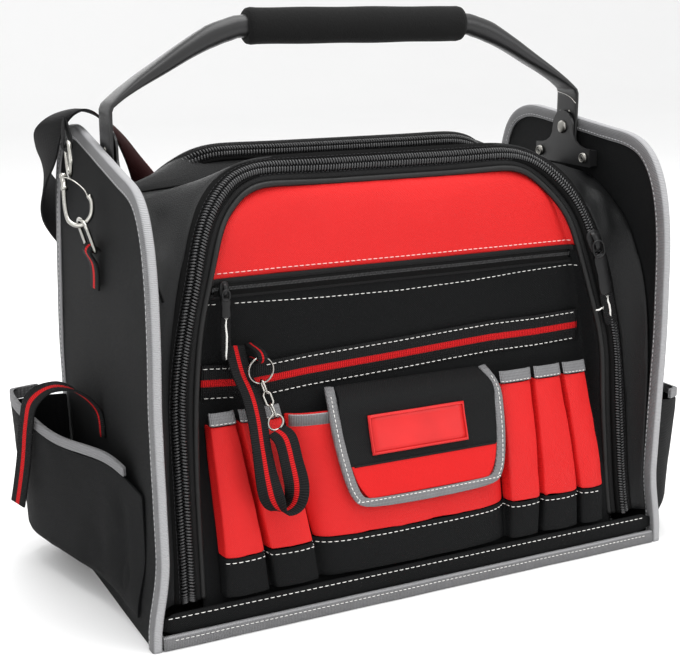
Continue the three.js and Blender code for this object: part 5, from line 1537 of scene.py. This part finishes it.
# The zip sliders and their pulls


def rounded_plate(length, width, thick, waist=1.0):
    """A thin plate with round ends, lying in X and Z, hanging down from its top."""
    rows_down = [(0.0, 0.55), (0.04, 0.8), (0.1, 0.95), (0.2, 1.0), (0.5, waist), (0.8, 1.0), (0.92, 0.95), (0.98, 0.8), (1.0, 0.6)]
    places = [(spot(0, 0, -length * share), Vector((1, 0, 0)), Vector((0, -1, 0))) for share, wide in rows_down]
    points, faces, corners = sweep(places, flat_band(width, thick, 0.35))
    count = len(points) // len(places)
    for k, (share, wide) in enumerate(rows_down):
        for n in range(count):
            points[k * count + n].x *= wide
    return points, faces, corners


def slider_shell(size):
    """The body of a slider and the bridge on it, its nose up; it stands out towards -Y."""
    rows_up = [(-0.75, 0.75), (-0.6, 0.92), (-0.1, 1.0), (0.35, 1.05), (0.6, 0.85), (0.75, 0.5)]
    places = [(spot(0, -1.2, size * rise), Vector((1, 0, 0)), Vector((0, -1, 0))) for rise, wide in rows_up]
    points, faces, corners = sweep(places, flat_band(size, 2.6, 0.4))
    count = len(points) // len(places)
    for k, (rise, wide) in enumerate(rows_up):
        for n in range(count):
            points[k * count + n].x *= wide
    arch = curve([spot(0, -1.5, -0.62 * size), spot(0, -4.2, -0.5 * size), spot(0, -5.0, 0.0), spot(0, -4.0, 0.45 * size),
                  spot(0, -1.5, 0.6 * size)], 1.0)
    bridge = sweep(stops(arch, Vector((1, 0, 0))), flat_band(0.4 * size, 1.1))
    return merged([(points, faces, corners), bridge])


def hung(shape, at, lean, out):
    """A shape drawn hanging down, turned to hang along a direction and to face out."""
    z = -lean.normalized()
    y = (-out + z * out.dot(z)).normalized()
    matrix = Matrix((y.cross(z), y, z)).transposed()
    points, faces, corners = shape
    return [matrix @ point + at for point in points], faces, corners


def frayed_stitch(at, lean, out, long, thick):
    """One thick hand stitch with loose fibres at its top."""
    way = lean.normalized()
    side = way.cross(out).normalized()
    line = [at + way * (long * s) + side * (0.35 * thick * math.sin(9 * s)) for s in (0, 0.15, 0.4, 0.7, 0.9, 1.0)]
    parts = [sweep(stops(line, out), circle(thick, 8), scale=[0.5, 0.9, 1.0, 1.0, 0.9, 0.4])]
    for turn in (-0.7, -0.25, 0.2, 0.6):
        tip = at + (side * math.sin(turn) - way * math.cos(turn)) * (thick * 1.8)
        parts.append(sweep(stops([at + way * 0.6, tip], out), circle(0.3, 5), scale=[1.0, 0.4]))
    return parts


def pull(word, size, at, up, out, hang, lengths):
    """A slider with its ring, its plate and its cloth tab, one hanging from the other."""
    ring_long, plate_long, tab_long = lengths
    body = hung(slider_shell(size), at, -up, out)
    way = hang.normalized()
    lift = out * 5.4
    start = at + lift - up * (0.1 * size)
    parts = [body, hung(wire(stadium(ring_long, 0.75 * ring_long, 0.36 * ring_long, 0.36 * ring_long), 1.5, True),
                        start + way * (0.42 * ring_long), way, out)]
    plate_at = start + way * (0.72 * ring_long)
    plate = hung(rounded_plate(plate_long, 0.95 * size, 1.5, 0.86), plate_at - out * 0.6, way, out)
    piece(f"slider_{word}_metal", merged([*parts, plate]), "pull", replaces=(f"slider_{word}",))
    tab_at = plate_at + way * (plate_long - 4) - out * 1.6
    tab = hung(rounded_plate(tab_long, 1.02 * size, 2.2, 0.95), tab_at, way, out)
    piece(f"slider_{word}_tab", tab, "plain_webbing")
    return tab_at, way


def sliders():
    at, across, out = front_route[len(front_route) - 1 - round(len(front_route) * 0.258)]
    seat = at + out * 3.6
    up = across.cross(out) * (1 if across.cross(out).z > 0 else -1)
    face = Vector((0.1, -1, 0.05)).normalized()
    tab_at, way = pull("front", 11.4, seat, up, out, Vector((0.2, -0.10, -0.96)), (13, 32, 28))
    white = frayed_stitch(tab_at + way * 7 + face * 1.3, way, face, 14.5, 1.5)
    cross = Vector((-1, -0.25, -0.12)).normalized()
    white += frayed_stitch(tab_at + way * 13 - Vector((6, 1.2, 1.5)), cross, face, 8, 1.3)
    rear_at, across, out = rear_route[round(len(rear_route) * 0.30)]
    up = across.cross(out) * (1 if across.cross(out).z > 0 else -1)
    pull("rear", 9.5, rear_at + out * 3.6, up, out, Vector((0.05, 0.12, -0.99)), (11, 27, 22))
    low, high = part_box("slider_slit")
    x = (low.x + high.x) / 2 / MM
    tilt = Vector((-0.04, -0.08, -1)).normalized()
    seat = front_skin.lay([spot(x, 0, SLIT_HEIGHT)], -300, FRONT, 1.6)[0][0]
    tab_at, way = pull("slit", 7, seat, UP.copy(), -FRONT, tilt, (7, 13, 33))
    white += frayed_stitch(tab_at + way * 5.5 - FRONT * 1.4, way, -FRONT, 27, 1.4)
    piece("stitches_pulls", merged(white), "white_thread")


sliders()
